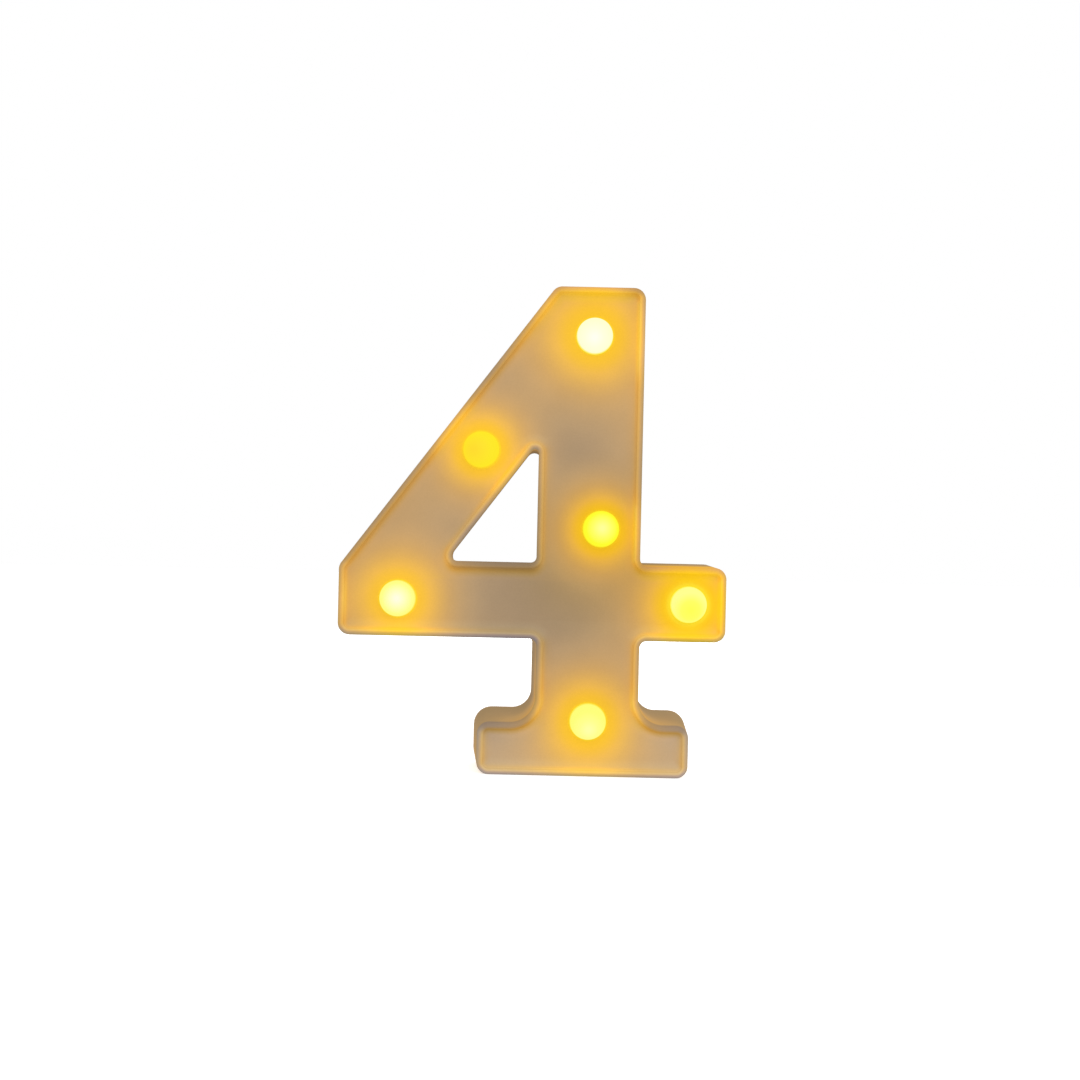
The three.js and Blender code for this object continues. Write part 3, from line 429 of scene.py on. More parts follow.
def collar(bm, centre):
    """The ring behind the face that a bulb cap sits in."""
    back = FACE_BACK + COLLAR_DEPTH
    lathe(bm, ((COLLAR_INNER, FACE_BACK), (COLLAR_INNER, back),
               (COLLAR_OUTER, back), (COLLAR_OUTER, FACE_BACK)), centre)


def boss(bm, centre):
    """A post behind the face, with a screw's pilot hole."""
    bottom = BOSS_BACK - PILOT_DEPTH
    lathe(bm, ((0, bottom), (PILOT_RADIUS, bottom), (PILOT_RADIUS, BOSS_BACK),
               (BOSS_RADIUS, BOSS_BACK), (BOSS_RADIUS, FACE_BACK)), centre, BOSS_SIDES)


def front_shell():
    """The shell's skin with its wall thickness: fine corners, a rolled rim and a filleted face."""
    bm = bmesh.new()
    inward = bm.verts.layers.float.new("inward")
    bm.verts.layers.float.new("upward")
    back_loops = []
    face_loops = []
    for form in (number_outline(), triangle_gap()):
        rings = [skin_ring(bm, form, inset, y) for y, inset in shell_stations()]
        for near, far in zip(rings, rings[1:]):
            add_strip(bm, near, far)
        back_loops.append(rings[0])
        face_loops.append(rings[-1])
    ring_verts = len(bm.verts)
    for centre in centres_of(BULB_NAMES):
        back, front = bulb_hole(bm, centre)
        back_loops.append(back)
        face_loops.append(front)
    fill(bm, back_loops)
    fill(bm, face_loops)
    for centre in centres_of(BULB_NAMES):
        collar(bm, centre)
    for centre in centres_of(SCREW_NAMES):
        boss(bm, centre)
    bm.verts.ensure_lookup_table()
    for vert in bm.verts[ring_verts:]:
        vert[inward] = PAST_RIM
    return mesh_object("front_shell_skin", bm)


def dome(radius, rise):
    """A quarter of an ellipse from the face to its tip, as (radius, y)."""
    profile = []
    for k in range(DOME_STEPS):
        angle = math.pi / 2 * k / DOME_STEPS
        profile.append((radius * math.cos(angle), FACE_FRONT - rise * math.sin(angle)))
    return profile + [(0, FACE_FRONT - rise)]


def bulb_cap(name, centre):
    """A hollow domed cap with a flange behind the face."""
    bm = bmesh.new()
    flange = BULB_RADIUS + CAP_FLANGE_REACH
    flange_front = FACE_BACK + CLEARANCE
    flange_back = flange_front + CAP_FLANGE_THICKNESS
    profile = dome(BULB_RADIUS, BULB_RISE)[::-1]
    profile += [(BULB_RADIUS, flange_front), (flange, flange_front), (flange, flange_back),
                (BULB_RADIUS - CAP_WALL, flange_back)]
    profile += dome(BULB_RADIUS - CAP_WALL, BULB_RISE - CAP_WALL)
    lathe(bm, profile, centre)
    return mesh_object(name + "_dome", bm)


def finer(node, width):
    """A copy of a CAD node with its sharp edges rounded and its round faces smooth."""
    bm = bmesh.new()
    bm.from_mesh(nodes[node].data)
    bmesh.ops.remove_doubles(bm, verts=bm.verts, dist=SAME_PLACE)
    bmesh.ops.dissolve_limit(bm, angle_limit=math.radians(FLAT_ANGLE), verts=bm.verts,
                             edges=bm.edges)
    sharp = [edge for edge in bm.edges
             if edge.is_manifold and edge.calc_face_angle() > math.radians(SHARP_ANGLE)]
    bmesh.ops.bevel(bm, geom=sharp, offset=width * MM, offset_type="OFFSET", segments=2,
                    profile=0.5, affect="EDGES", clamp_overlap=False)
    return mesh_object(node + "_finished", bm, ROUNDED_SHARP_ANGLE)


def coil(node):
    """A smooth spring in the place of the CAD model's coarse one."""
    low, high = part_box(node)
    wire = SPRING_WIRE * MM / 2
    radius = (high.x - low.x) / 2 - wire
    middle = (low + high) / 2
    bm = bmesh.new()
    rings = []
    count = SPRING_TURNS * SPRING_STEPS
    for step in range(count + 1):
        angle = 2 * math.pi * step / SPRING_STEPS
        outwards = Vector((math.cos(angle), math.sin(angle), 0))
        height = low.z + wire + (high.z - low.z - 2 * wire) * step / count
        centre = Vector((middle.x, middle.y, height)) + outwards * radius
        verts = []
        for k in range(SPRING_SIDES):
            round_wire = 2 * math.pi * k / SPRING_SIDES
            up = Vector((0, 0, wire * math.sin(round_wire)))
            verts.append(bm.verts.new(centre + outwards * (wire * math.cos(round_wire)) + up))
        rings.append(verts)
    for near, far in zip(rings, rings[1:]):
        add_strip(bm, near, far)
    bm.faces.new(rings[0])
    bm.faces.new(rings[-1])
    return mesh_object(node + "_coil", bm)


def mark(name, word, x, z):
    """A word that stands out of the switch's dish and runs upwards, as seen from behind."""
    curve = bpy.data.curves.new(name, "FONT")
    curve.body = word
    curve.size = MARK_HEIGHT * MM
    curve.extrude = MARK_RISE * MM
    curve.align_x = "CENTER"
    curve.align_y = "CENTER"
    text = linked(bpy.data.objects.new(name, curve))
    mesh = bpy.data.meshes.new_from_object(text)
    bpy.data.objects.remove(text)
    facing_back = Matrix(((0, 1, 0), (0, 0, 1), (1, 0, 0))).to_4x4()
    mesh.transform(Matrix.Translation((x * MM, DISH_FLOOR * MM, z * MM)) @ facing_back)
    return linked(bpy.data.objects.new(name, mesh))


def linear(red, green, blue):
    """A colour given as 0 to 255 screen values, as Blender's linear RGBA."""
    def one(value):
        value /= 255
        return value / 12.92 if value <= 0.04045 else ((value + 0.055) / 1.055) ** 2.4
    return (one(red), one(green), one(blue), 1.0)


def darker(colour, share):
    return tuple(channel * share for channel in colour[:3]) + (1.0,)


class Graph:
    """The nodes of one material."""

    def __init__(self, name):
        self.material = bpy.data.materials.new(name)
        self.material.use_nodes = True
        self.tree = self.material.node_tree
        self.shader = self.tree.nodes["Principled BSDF"]
        self.position = self.add("ShaderNodeTexCoord").outputs["Object"]

    def feed(self, socket, value):
        if isinstance(value, bpy.types.NodeSocket):
            self.tree.links.new(value, socket)
        else:
            socket.default_value = value

    def add(self, kind, inputs=None, **settings):
        node = self.tree.nodes.new(kind)
        for key, value in settings.items():
            setattr(node, key, value)
        for key, value in (inputs or {}).items():
            self.feed(node.inputs[key], value)
        return node

    def coordinate(self, axis):
        return self.add("ShaderNodeSeparateXYZ", {0: self.position}).outputs[axis]

    def attribute(self, name):
        return self.add("ShaderNodeAttribute", attribute_name=name).outputs["Fac"]

    def math(self, operation, a, b=0.0):
        return self.add("ShaderNodeMath", {0: a, 1: b}, operation=operation).outputs[0]

    def vector(self, operation, a, b):
        node = self.add("ShaderNodeVectorMath", {0: a, 1: b}, operation=operation)
        return node.outputs["Vector"]

    def length(self, vector):
        node = self.add("ShaderNodeVectorMath", {0: vector}, operation="LENGTH")
        return node.outputs["Value"]

    def scale(self, colour, factor):
        node = self.add("ShaderNodeVectorMath", {0: colour, 3: factor}, operation="SCALE")
        return node.outputs["Vector"]

    def mix(self, share, a, b, blend="MIX"):
        """Two colours mixed; the node's colour sockets are inputs 6 and 7 and output 2."""
        node = self.add("ShaderNodeMix", {0: share, 6: a, 7: b}, data_type="RGBA",
                        blend_type=blend)
        return node.outputs[2]

    def ramp(self, value, stops, interpolation="LINEAR"):
        node = self.add("ShaderNodeValToRGB", {0: value})
        node.color_ramp.interpolation = interpolation
        elements = node.color_ramp.elements
        while len(elements) < len(stops):
            elements.new(1.0)
        for element, (place, colour) in zip(elements, stops):
            element.position = place
            element.color = colour
        return node.outputs[0]

    def span(self, value, low, high, to_low=0.0, to_high=1.0, smooth=True):
        """A value moved from one range to another, and kept within it."""
        node = self.add("ShaderNodeMapRange", {0: value, 1: low, 2: high, 3: to_low, 4: to_high},
                        interpolation_type="SMOOTHSTEP" if smooth else "LINEAR")
        return node.outputs[0]

    def noise(self, size, detail, roughness=0.5):
        """Noise with features of about the given size in metres."""
        node = self.add("ShaderNodeTexNoise", {
            "Vector": self.position, "Scale": 1 / size, "Detail": detail, "Roughness": roughness,
        })
        return node.outputs["Fac"]

    def mottle(self, size, detail, to_low=0.0, to_high=1.0):
        """Noise spread over the range between two values."""
        return self.span(self.noise(size, detail), 0.3, 0.7, to_low, to_high)

    def grain(self, size, depth, strength):
        """A fine bump all over; size and depth are in metres."""
        node = self.add("ShaderNodeBump", {
            "Height": self.noise(size, 2), "Distance": depth, "Strength": strength,
        })
        self.feed(self.shader.inputs["Normal"], node.outputs[0])

    def finish(self, **values):
        for key, value in values.items():
            self.feed(self.shader.inputs[key.replace("_", " ")], value)
        return self.material


# How far each bulb's painted glow reaches over the shell, and how strong it starts
GLOW_REACHES = (16.7, 11.6, 14.0, 9.8, 14.3, 14.1)
GLOW_STRENGTHS = (0.91, 0.915, 0.885, 0.945, 0.99, 0.91)
GLOW_CURVE = 1.85
# It falls off faster towards the back by this factor
GLOW_DEPTH_STRETCH = 1.6
# Weak painted glows by the edges, between the bulbs, as (x, z, reach, strength)
EDGE_GLOWS = (
    (2, 153, 9, 0.22),
    (-8, 142, 9, 0.16),
    (-43, 90, 11, 0.2),
    (-66, 56, 10, 0.22),
    (36, 112, 14, 0.2),
    (20, 161, 10, 0.24),
)
# Light from the pale floor is painted on the foot a little, up to this height
FLOOR_LIGHT_HEIGHT = 20.0
FLOOR_LIGHT = 0.2
# A thin painted line of bright light on the shell round each bulb
HALO_WIDTH = 0.8
HALO_SHARE = 0.6
HALO_COLOUR = linear(252, 222, 40)
# The shell's colour by how brightly it is lit
GLOW_STOPS = (
    (0.0, linear(165, 141, 112)),
    (0.15, linear(187, 155, 114)),
    (0.31, linear(199, 161, 110)),
    (0.46, linear(208, 165, 103)),
    (0.62, linear(222, 174, 94)),
    (0.77, linear(238, 185, 82)),
    (0.87, linear(246, 192, 60)),
    (0.95, linear(250, 198, 38)),
    (0.975, linear(252, 205, 38)),
    (1.0, linear(252, 230, 60)),
)
# Patches of dimmer painted glow on the shell, as (x, z), how far out each starts and ends to fade,
# and its tint: a deep yellow one round the stem's middle bulb, and three between the bulbs
DIMMER_GLOW_PATCHES = (
    ((22, 73), (10, 36), (0.93, 0.9, 0.73, 1)),
    ((15, 114), (3, 20), (0.91, 0.93, 0.98, 1)),
    ((-21, 57), (2, 15), (0.91, 0.94, 1.0, 1)),
    ((12, 43), (2, 15), (0.93, 0.95, 1.0, 1)),
)
# The foot's front turns paler from the first of these heights down to the second, where no bulb
# colours it: painted light from the pale floor
PALE_FOOT_SPAN = (24.0, 14.0)
PALE_FOOT_TINT = (1.06, 1.16, 1.42, 1)
# The side walls' tints, painted light and shade by the way a wall faces: on walls that face
# sideways or down, on those that face up, and in the gap
WALL_TINT = (1.08, 1.07, 1.0, 1)
UPPER_WALL_TINT = (1.05, 1.03, 0.88, 1)
GAP_WALL_TINT = (0.85, 0.8, 0.65, 1)
# How much of the shell's colour comes from the lamps; the rest is painted glow, as emission
LAMP_SHARE = 0.45

# The rim stands out of the face, and more light is painted on it, fading over this span inwards
RIM_CATCH = 0.55
RIM_CATCH_SPAN = (3.5, 2.0)
# Spans of the upward value over which an edge comes to face up, down or sideways, and spans of
# the light over which an upper or a side rim comes to look lit
FACES_UP = (0.3, 0.9)
FACES_DOWN = (-0.2, -0.8)
FACES_SIDEWAYS = (0.5, 0.2)
UPPER_RIM_LIT = (0.3, 0.72)
SIDE_RIM_LIT = (0.4, 0.6)
# How the rim's painted light and shade tint the shell, by the way in from its edge as a share of
# the rim's span: painted highlights and a painted shadow band inside the rim, on an edge that
# faces sideways, away from the bulbs and near one, on one that faces down, and on one that faces
# up, away from the bulbs and near one
RIM_SPAN = 6.0
SIDE_RIM = (
    (0.0, (0.8, 0.86, 0.95, 1)),
    (0.08, (0.87, 0.92, 1.0, 1)),
    (0.17, (1.05, 1.03, 0.92, 1)),
    (0.25, (1.2, 1.12, 0.75, 1)),
    (0.33, (1.17, 1.07, 0.68, 1)),
    (0.42, (1.12, 1.04, 0.74, 1)),
    (0.5, (1.07, 1.03, 0.84, 1)),
    (0.67, (1.03, 1.01, 0.95, 1)),
    (1.0, (1.0, 1.0, 1.0, 1)),
)
LIT_SIDE_RIM = (
    (0.0, (0.8, 0.87, 1.5, 1)),
    (0.08, (0.87, 0.92, 1.8, 1)),
    (0.17, (1.05, 1.0, 1.25, 1)),
    (0.25, (1.18, 1.25, 1.12, 1)),
    (0.33, (1.16, 1.27, 1.02, 1)),
    (0.42, (1.1, 1.12, 0.8, 1)),
    (0.5, (1.07, 1.05, 0.86, 1)),
    (0.67, (1.03, 1.01, 0.95, 1)),
    (1.0, (1.0, 1.0, 1.0, 1)),
)
LOWER_RIM = (
    (0.0, (0.62, 0.78, 1.35, 1)),
    (0.08, (0.69, 0.83, 1.37, 1)),
    (0.17, (0.9, 0.96, 1.34, 1)),
    (0.25, (1.18, 1.26, 1.26, 1)),
    (0.33, (1.19, 1.24, 1.09, 1)),
    (0.42, (1.16, 1.18, 1.04, 1)),
    (0.5, (1.13, 1.17, 1.1, 1)),
    (0.67, (1.07, 1.11, 1.13, 1)),
    (1.0, (1.0, 1.0, 1.0, 1)),
)
UPPER_RIM = (
    (0.0, (0.7, 0.71, 0.76, 1)),
    (0.17, (0.71, 0.7, 0.73, 1)),
    (0.25, (0.76, 0.67, 0.5, 1)),
    (0.33, (0.89, 0.73, 0.32, 1)),
    (0.42, (1.0, 0.85, 0.4, 1)),
    (0.5, (1.05, 0.95, 0.58, 1)),
    (0.58, (1.06, 1.0, 0.77, 1)),
    (0.7, (1.05, 1.03, 1.0, 1)),
    (0.95, (1.0, 1.0, 1.0, 1)),
)
LIT_UPPER_RIM = (
    (0.0, (0.95, 0.88, 1.5, 1)),
    (0.08, (0.95, 0.9, 1.6, 1)),
    (0.17, (1.0, 0.98, 1.25, 1)),
    (0.25, (1.05, 1.05, 0.92, 1)),
    (0.33, (1.08, 1.14, 0.65, 1)),
    (0.42, (1.03, 1.12, 0.6, 1)),
    (0.5, (1.01, 1.08, 0.65, 1)),
    (0.67, (1.0, 1.05, 0.75, 1)),
    (0.9, (1.0, 1.0, 1.0, 1)),
)


def glow(graph):
    """How brightly the painted glow lights a point of the shell, and how far it is from the
    nearest bulb's edge.
    """
    dark = 1.0
    nearest = 1.0  # metre, further than any point of the number
    sources = [(x, z, reach, strength, BULB_RADIUS) for (x, z), reach, strength
               in zip(centres_of(BULB_NAMES), GLOW_REACHES, GLOW_STRENGTHS)]
    sources += [(x, z, reach, strength, 0.0) for x, z, reach, strength in EDGE_GLOWS]
    for x, z, reach, strength, radius in sources:
        away = graph.vector("SUBTRACT", graph.position, (x * MM, FACE_FRONT * MM, z * MM))
        far = graph.length(graph.vector("MULTIPLY", away, (1, GLOW_DEPTH_STRETCH, 1)))
        past = graph.math("MAXIMUM", graph.math("SUBTRACT", far, radius * MM), 0.0)
        if radius > 0:
            nearest = graph.math("MINIMUM", nearest, past)
        share = graph.math("POWER", graph.math("DIVIDE", past, reach * MM), GLOW_CURVE)
        lit = graph.math("EXPONENT", graph.math("MULTIPLY", share, -1.0))
        unlit = graph.math("SUBTRACT", 1.0, graph.math("MULTIPLY", lit, strength))
        dark = graph.math("MULTIPLY", dark, unlit)
    # painted light from the pale floor, stronger low on the foot
    floor_light = graph.span(graph.coordinate("Z"), FLOOR_LIGHT_HEIGHT * MM, 0.0, 0.0, FLOOR_LIGHT)
    dark = graph.math("MULTIPLY", dark, graph.math("SUBTRACT", 1.0, floor_light))
    return graph.math("SUBTRACT", 1.0, dark), nearest


def painted_rim_and_wall_shade(graph, light, inward):
    """The painted light and shade that the rim or a wall puts on the shell's colour."""
    upward = graph.attribute("upward")
    facing_up = graph.span(upward, *FACES_UP)
    place = graph.span(inward, 0, RIM_SPAN, smooth=False)
    upper = graph.mix(graph.span(light, *UPPER_RIM_LIT), graph.ramp(place, UPPER_RIM),
                      graph.ramp(place, LIT_UPPER_RIM))
    sideways = graph.span(graph.math("ABSOLUTE", upward), *FACES_SIDEWAYS)
    lit_side = graph.math("MULTIPLY", sideways, graph.span(light, *SIDE_RIM_LIT))
    side = graph.mix(lit_side, graph.ramp(place, SIDE_RIM), graph.ramp(place, LIT_SIDE_RIM))
    tint = graph.mix(facing_up, side, upper)
    tint = graph.mix(graph.span(upward, *FACES_DOWN), tint, graph.ramp(place, LOWER_RIM))
    # painted light and shade on the walls, by the way they face
    wall = graph.mix(facing_up, WALL_TINT, UPPER_WALL_TINT)
    tint = graph.mix(graph.span(inward, 0.0, ON_WALL), tint, wall)
    return graph.mix(graph.span(inward, ON_WALL, ON_GAP_WALL), tint, GAP_WALL_TINT)


def way_out(graph, x, z):
    """How far a point lies from a line along Y, as a share of a bulb's radius."""
    away = graph.vector("SUBTRACT", graph.position, (x * MM, 0, z * MM))
    far = graph.length(graph.vector("MULTIPLY", away, (1, 0, 1)))
    return graph.math("DIVIDE", far, BULB_RADIUS * MM)


def shell_material():
    """Frosted plastic with painted glow round the bulbs, the rims' painted light and shade,
    clouding and dust.
    """
    graph = Graph("shell_plastic")
    light, nearest = glow(graph)
    inward = graph.attribute("inward")
    unlit = graph.math("SUBTRACT", 1.0, light)
    # painted light on the rim
    painted_rim_light = graph.math("MULTIPLY", graph.math("MULTIPLY", light, unlit),
                        graph.span(inward, *RIM_CATCH_SPAN, 0.0, RIM_CATCH))
    colour = graph.ramp(graph.math("ADD", light, painted_rim_light), GLOW_STOPS)
    halo = graph.span(nearest, 0.0, HALO_WIDTH * MM, HALO_SHARE, 0.0)
    colour = graph.mix(halo, colour, HALO_COLOUR)
    # the rims' and walls' painted light and shade
    colour = graph.mix(1.0, colour, painted_rim_and_wall_shade(graph, light, inward), "MULTIPLY")
    # patches where less of the painted glow reaches
    for middle, (start, end), tint in DIMMER_GLOW_PATCHES:
        dimmer_glow = graph.span(way_out(graph, *middle), end / BULB_RADIUS, start / BULB_RADIUS)
        colour = graph.mix(dimmer_glow, colour, tint, "MULTIPLY")
    # painted light from the pale floor, paler and whiter low on the foot
    top, bottom = PALE_FOOT_SPAN
    pale = graph.math("MULTIPLY", graph.span(graph.coordinate("Z"), top * MM, bottom * MM), unlit)
    on_face = graph.span(inward, ON_WALL, 0.0)
    pale = graph.math("MULTIPLY", pale, on_face)
    colour = graph.mix(pale, colour, PALE_FOOT_TINT, "MULTIPLY")
    clouds = graph.mottle(0.02, 3, 0.985, 1.045)
    dust = graph.mottle(0.0006, 2, 0.985, 1.015)
    colour = graph.scale(colour, graph.math("MULTIPLY", clouds, dust))
    graph.grain(0.0005, 0.00002, 0.6)
    return graph.finish(Base_Color=graph.scale(colour, LAMP_SHARE), Emission_Color=colour,
                        Emission_Strength=1 - LAMP_SHARE, Roughness=0.55,
                        Specular_IOR_Level=0.0)


# Where each bulb's colours are centred, in mm from its middle, how far out the last of them
# starts, as a share of its radius, and the colours at the centre, half way out, there, and at
# the edge
BULB_COLOURS = (
    ((-0.3, -1.3), 0.95, linear(255, 254, 238), linear(254, 254, 221), linear(252, 254, 209),
     linear(251, 238, 96)),
    ((-2.4, -0.5), 0.95, linear(253, 219, 42), linear(253, 225, 40), linear(252, 231, 37),
     linear(250, 212, 38)),
    ((0.2, 0.0), 0.86, linear(254, 251, 222), linear(253, 253, 181), linear(252, 253, 134),
     linear(250, 226, 76)),
    ((0.2, 0.1), 0.86, linear(253, 254, 148), linear(253, 253, 102), linear(252, 253, 47),
     linear(247, 224, 30)),
    ((0.2, -1.7), 0.95, linear(254, 253, 86), linear(254, 253, 98), linear(253, 253, 143),
     linear(252, 243, 80)),
    ((0.2, -2.2), 0.95, linear(254, 254, 166), linear(254, 253, 142), linear(252, 253, 122),
     linear(249, 228, 68)),
)
# Where the first two of these colours lie, and where a cap starts to take its edge's colour, as
# shares of its radius
BULB_CENTRE = 0.1
BULB_HALF = 0.5
BULB_EDGE = 0.94
# How much of its colour a cap glows with, and how much it has without light
BULB_GLOW = 0.96
BULB_UNLIT = 0.05


def bulb_material(number, centre):
    """A cap lit from within, with next to no colour of its own."""
    graph = Graph("bulb_plastic_%d" % number)
    shift, outer_at, inner, half, outer, edge = BULB_COLOURS[number - 1]
    off_centre = way_out(graph, centre[0] + shift[0], centre[1] + shift[1])
    stops = ((BULB_CENTRE, inner), (BULB_HALF, half), (outer_at, outer))
    colour = graph.ramp(off_centre, stops)
    colour = graph.mix(graph.span(way_out(graph, *centre), BULB_EDGE, 1.0), colour, edge)
    graph.grain(0.0008, 0.00002, 0.4)
    return graph.finish(Base_Color=graph.scale(colour, BULB_UNLIT), Emission_Color=colour,
                        Emission_Strength=BULB_GLOW, Roughness=0.6, Specular_IOR_Level=0.1)


def plastic(name, colour, roughness):
    graph = Graph(name)
    shade = graph.mix(graph.mottle(0.012, 3), darker(colour, 0.92), colour)
    rough = graph.mottle(0.003, 3, roughness - 0.06, roughness + 0.06)
    graph.grain(0.0005, 0.00002, 0.5)
    return graph.finish(Base_Color=shade, Roughness=rough)


def metal(name, colour, roughness):
    graph = Graph(name)
    stain = graph.span(graph.noise(0.002, 4), 0.45, 0.75)
    shade = graph.mix(stain, colour, darker(colour, 0.75))
    rough = graph.mottle(0.001, 3, roughness - 0.08, roughness + 0.12)
    graph.grain(0.0002, 0.00001, 0.4)
    return graph.finish(Base_Color=shade, Roughness=rough, Metallic=1.0)


def led_material():
    """Glowing epoxy in front, and bare leads behind."""
    graph = Graph("led_epoxy")
    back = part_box("led_1")[1].y
    lead = graph.math("GREATER_THAN", graph.coordinate("Y"), back - LEAD_LENGTH * MM)
    epoxy = graph.mix(graph.mottle(0.002, 3), linear(250, 226, 150), linear(255, 240, 186))
    colour = graph.mix(lead, epoxy, linear(200, 200, 204))
    own = graph.math("MULTIPLY", graph.math("SUBTRACT", 1.0, lead), 0.6)
    rough = graph.span(lead, 0.0, 1.0, 0.15, 0.35)
    return graph.finish(Base_Color=colour, Metallic=lead, Roughness=rough,
                        Emission_Color=linear(255, 214, 110), Emission_Strength=own)


# Where a cell's gold band and its bare button start, and where its bare base ends, as shares of
# its length
CELL_BAND = 0.74
CELL_BUTTON = 0.968
CELL_BASE = 0.012


def cell_material(node, positive_up):
    """A green wrap with a gold band at the positive end, and bare metal on both ends."""
    graph = Graph(node + "_wrap")
    low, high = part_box(node)
    start, end = (low.z, high.z) if positive_up else (high.z, low.z)
    way = graph.span(graph.coordinate("Z"), start, end, smooth=False)
    scuff = graph.span(graph.noise(0.004, 4, 0.6), 0.4, 0.75)
    wrap = graph.mix(scuff, linear(38, 92, 62), linear(52, 112, 78))
    gold = graph.mix(scuff, linear(196, 158, 84), linear(214, 176, 100))
    steel = graph.mix(scuff, linear(196, 197, 200), linear(168, 168, 170))
    in_band = graph.math("GREATER_THAN", way, CELL_BAND)
    bare = graph.math("MAXIMUM", graph.math("GREATER_THAN", way, CELL_BUTTON),
                      graph.math("LESS_THAN", way, CELL_BASE))
    colour = graph.mix(bare, graph.mix(in_band, wrap, gold), steel)
    shiny = graph.math("MAXIMUM", bare, graph.math("MULTIPLY", in_band, 0.7))
    graph.grain(0.001, 0.00001, 0.4)
    return graph.finish(Base_Color=colour, Metallic=shiny,
                        Roughness=graph.span(scuff, 0.0, 1.0, 0.28, 0.42))


# The resistor's colours, each from its place on, as a share of the resistor's length with its
# leads; the bare leads lie further from the middle than the half body
RESISTOR_BODY = linear(206, 186, 142)
RESISTOR_LEAD = linear(196, 196, 198)
RESISTOR_STOPS = (
    (0.0, RESISTOR_LEAD),
    (0.245, RESISTOR_BODY),
    (0.31, linear(120, 66, 34)),
    (0.355, RESISTOR_BODY),
    (0.42, linear(28, 26, 26)),
    (0.465, RESISTOR_BODY),
    (0.53, linear(120, 66, 34)),
    (0.575, RESISTOR_BODY),
    (0.67, linear(196, 160, 80)),
    (0.715, RESISTOR_BODY),
    (0.755, RESISTOR_LEAD),
)
RESISTOR_HALF_BODY = 0.256


def resistor_material():
    """A pale body with four colour rings and bare leads."""
    graph = Graph("resistor_coat")
    low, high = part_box("resistor")
    spread = list(high - low)
    axis = spread.index(max(spread))
    way = graph.span(graph.coordinate("XYZ"[axis]), low[axis], high[axis], smooth=False)
    from_middle = graph.math("ABSOLUTE", graph.math("SUBTRACT", way, 0.5))
    bare = graph.math("GREATER_THAN", from_middle, RESISTOR_HALF_BODY)
    graph.grain(0.0006, 0.00001, 0.4)
    return graph.finish(Base_Color=graph.ramp(way, RESISTOR_STOPS, "CONSTANT"), Metallic=bare,
                        Roughness=graph.mottle(0.001, 2, 0.35, 0.5))


def dress(obj, material):
    obj.data.materials.clear()
    obj.data.materials.append(material)
    return obj


def stand_for(obj, node):
    """A new piece takes the place of the CAD node that it stands for."""
    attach(obj, nodes[node]["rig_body"])
    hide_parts(node)


def finish_front():
    """The shell and its bulb caps."""
    stand_for(dress(front_shell(), shell_material()), "front_shell")
    for number, (name, centre) in enumerate(zip(BULB_NAMES, centres_of(BULB_NAMES)), 1):
        stand_for(dress(bulb_cap(name, centre), bulb_material(number, centre)), name)


def finish_other_pieces(materials):
    """A finer copy or a smooth coil where it helps, and else the CAD node itself."""
    for part in frame["record"]["subparts"]:
        node, slot = part["node"], part["material_slot"]
        if slot == "cell_wrap":
            material = cell_material(node, node.endswith("1"))
        elif slot in materials:
            material = materials[slot]
        else:
            continue
        if slot in EDGE_WIDTHS:
            stand_for(dress(finer(node, EDGE_WIDTHS[slot]), material), node)
        elif slot == "spring_steel":
            stand_for(dress(coil(node), material), node)
        else:
            dress(nodes[node], material)


def add_marks(material):
    """ON and OFF, at the two ends of the switch's dish."""
    x, z = centres_of(["switch_body"])[0]
    for word, side in (("ON", -1), ("OFF", 1)):
        letters = mark("mark_" + word.lower(), word, x + side * MARK_SHIFT, z)
        dress(letters, material)
        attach(letters, nodes["back_cover"]["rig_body"])


# The stage: places and sizes in metres, the camera's sensor and lens in millimetres, its roll in
# degrees, and how strongly the floor and the world glow
FLOOR_SIZE = 30.0
FLOOR_GLOW = 0.56
WORLD_LEVEL = 0.55
# Name, place, size and power of each lamp, and the place that they all point at
LAMPS = (
    ("key", (0.1, -0.8, 0.5), 0.7, 3.8),
    ("back_fill", (0.3, 0.8, 0.25), 0.8, 5.0),
)
LAMP_TARGET = (0, 0, 0.08)
SENSOR_WIDTH = 36
LENS = 41.93
CAMERA_SHIFT = (0.0093, 0.0311)
CAMERA_PLACE = (-0.0009, -0.4235, 0.0659)
CAMERA_ROLL = 1.3


def seen(tree):
    """1 for a ray that shows the background: to the camera, in a mirror or through glass."""
    path = tree.nodes.new("ShaderNodeLightPath")
    share = path.outputs["Is Camera Ray"]
    for other in ("Is Glossy Ray", "Is Transmission Ray"):
        either = tree.nodes.new("ShaderNodeMath")
        either.operation = "MAXIMUM"
        tree.links.new(share, either.inputs[0])
        tree.links.new(path.outputs[other], either.inputs[1])
        share = either.outputs[0]
    return share


def floor():
    """White paper that shows white, and that lights the number less than it shows."""
    bm = bmesh.new()
    bmesh.ops.create_grid(bm, x_segments=2, y_segments=2, size=FLOOR_SIZE)
    obj = mesh_object("floor", bm)
    graph = Graph("floor_paper")
    own = graph.math("MULTIPLY", seen(graph.tree), FLOOR_GLOW)
    dress(obj, graph.finish(Base_Color=(0.9, 0.9, 0.9, 1), Roughness=0.9,
                            Emission_Color=(1, 1, 1, 1), Emission_Strength=own))


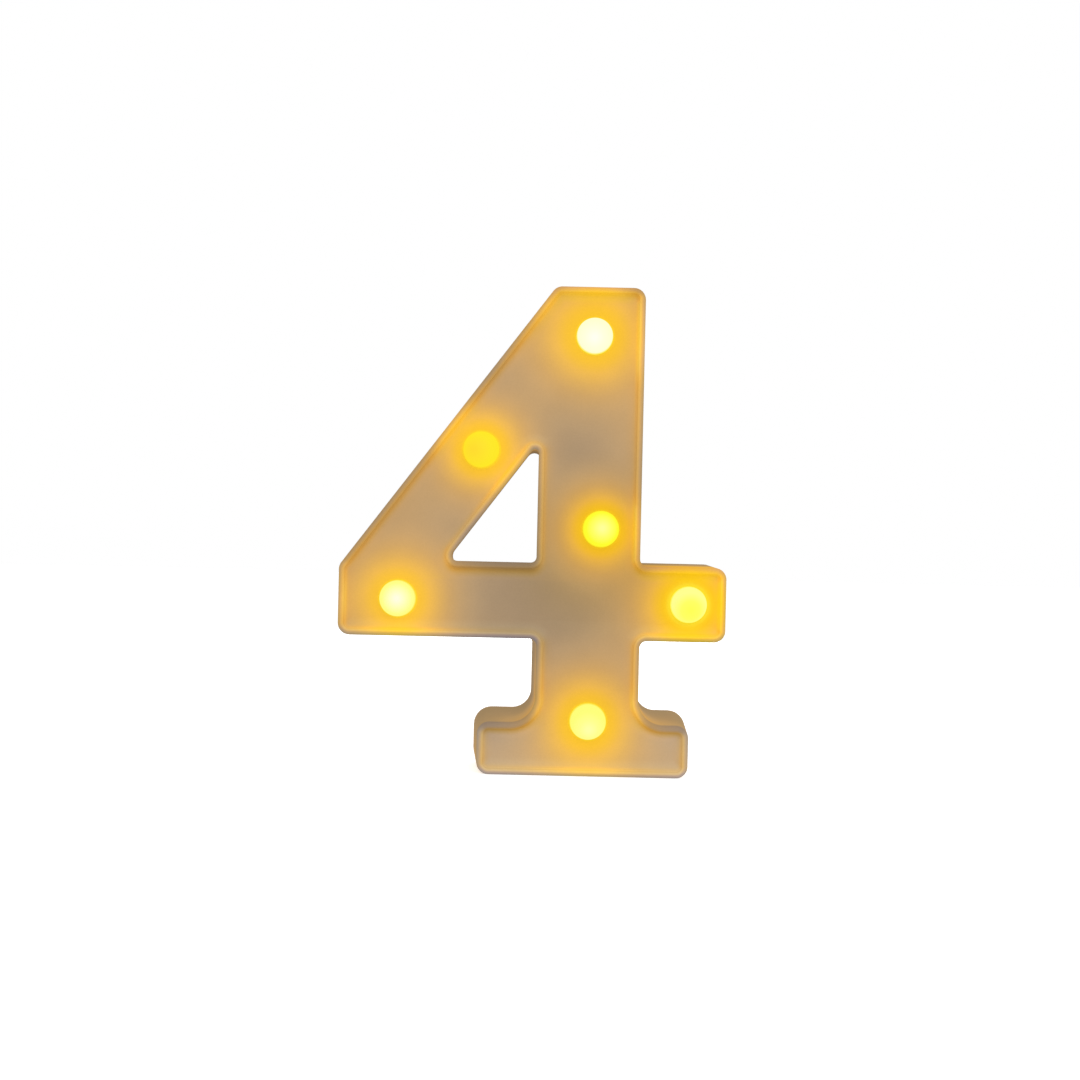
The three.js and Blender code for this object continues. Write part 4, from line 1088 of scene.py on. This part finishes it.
def surroundings():
    """A world that shows white, and that lights the number less than it shows."""
    studio = bpy.data.worlds.new("studio")
    bpy.context.scene.world = studio
    studio.use_nodes = True
    tree = studio.node_tree
    background = tree.nodes["Background"]
    level = tree.nodes.new("ShaderNodeMapRange")
    tree.links.new(seen(tree), level.inputs["Value"])
    level.inputs["To Min"].default_value = WORLD_LEVEL
    level.inputs["To Max"].default_value = 1.0
    tree.links.new(level.outputs[0], background.inputs["Strength"])
    background.inputs["Color"].default_value = (1, 1, 1, 1)


def area_light(name, place, size, power):
    light = bpy.data.lights.new(name, "AREA")
    light.size = size
    light.energy = power
    obj = linked(bpy.data.objects.new(name, light))
    obj.location = place
    aim = Vector(LAMP_TARGET) - Vector(place)
    obj.rotation_euler = aim.to_track_quat("-Z", "Y").to_euler()


def camera():
    """Straight at the number, level with the crossbar and rolled a little, as in the photo."""
    data = bpy.data.cameras.new("camera")
    data.sensor_width = SENSOR_WIDTH
    data.lens = LENS
    data.shift_x, data.shift_y = CAMERA_SHIFT
    obj = linked(bpy.data.objects.new("camera", data))
    upright = Matrix.Rotation(math.radians(90), 4, "X")
    roll = Matrix.Rotation(math.radians(CAMERA_ROLL), 4, "Z")
    obj.matrix_world = Matrix.Translation(CAMERA_PLACE) @ upright @ roll
    bpy.context.scene.camera = obj


finish_front()
finish_other_pieces({
    "cover": plastic("cover_plastic", linear(187, 160, 119), 0.5),
    "led": led_material(),
    "holder": plastic("holder_plastic", linear(236, 230, 218), 0.5),
    "screw_steel": metal("screw_steel", linear(200, 202, 205), 0.3),
    "contact_plate": metal("contact_nickel", linear(214, 210, 200), 0.25),
    "spring_steel": metal("spring_steel", linear(205, 206, 208), 0.25),
    "wire_white": plastic("wire_white", linear(232, 228, 218), 0.6),
    "wire_red": plastic("wire_red", linear(176, 48, 40), 0.55),
    "wire_black": plastic("wire_black", linear(30, 30, 32), 0.5),
    "resistor": resistor_material(),
    "switch_can": metal("switch_can", linear(158, 160, 163), 0.4),
    "knob": plastic("knob_plastic", linear(40, 40, 42), 0.45),
})
add_marks(plastic("mark_ink", linear(104, 84, 58), 0.5))

floor()
surroundings()
for lamp in LAMPS:
    area_light(*lamp)
camera()
bpy.context.scene.view_settings.view_transform = "Standard"

bpy.context.view_layer.update()
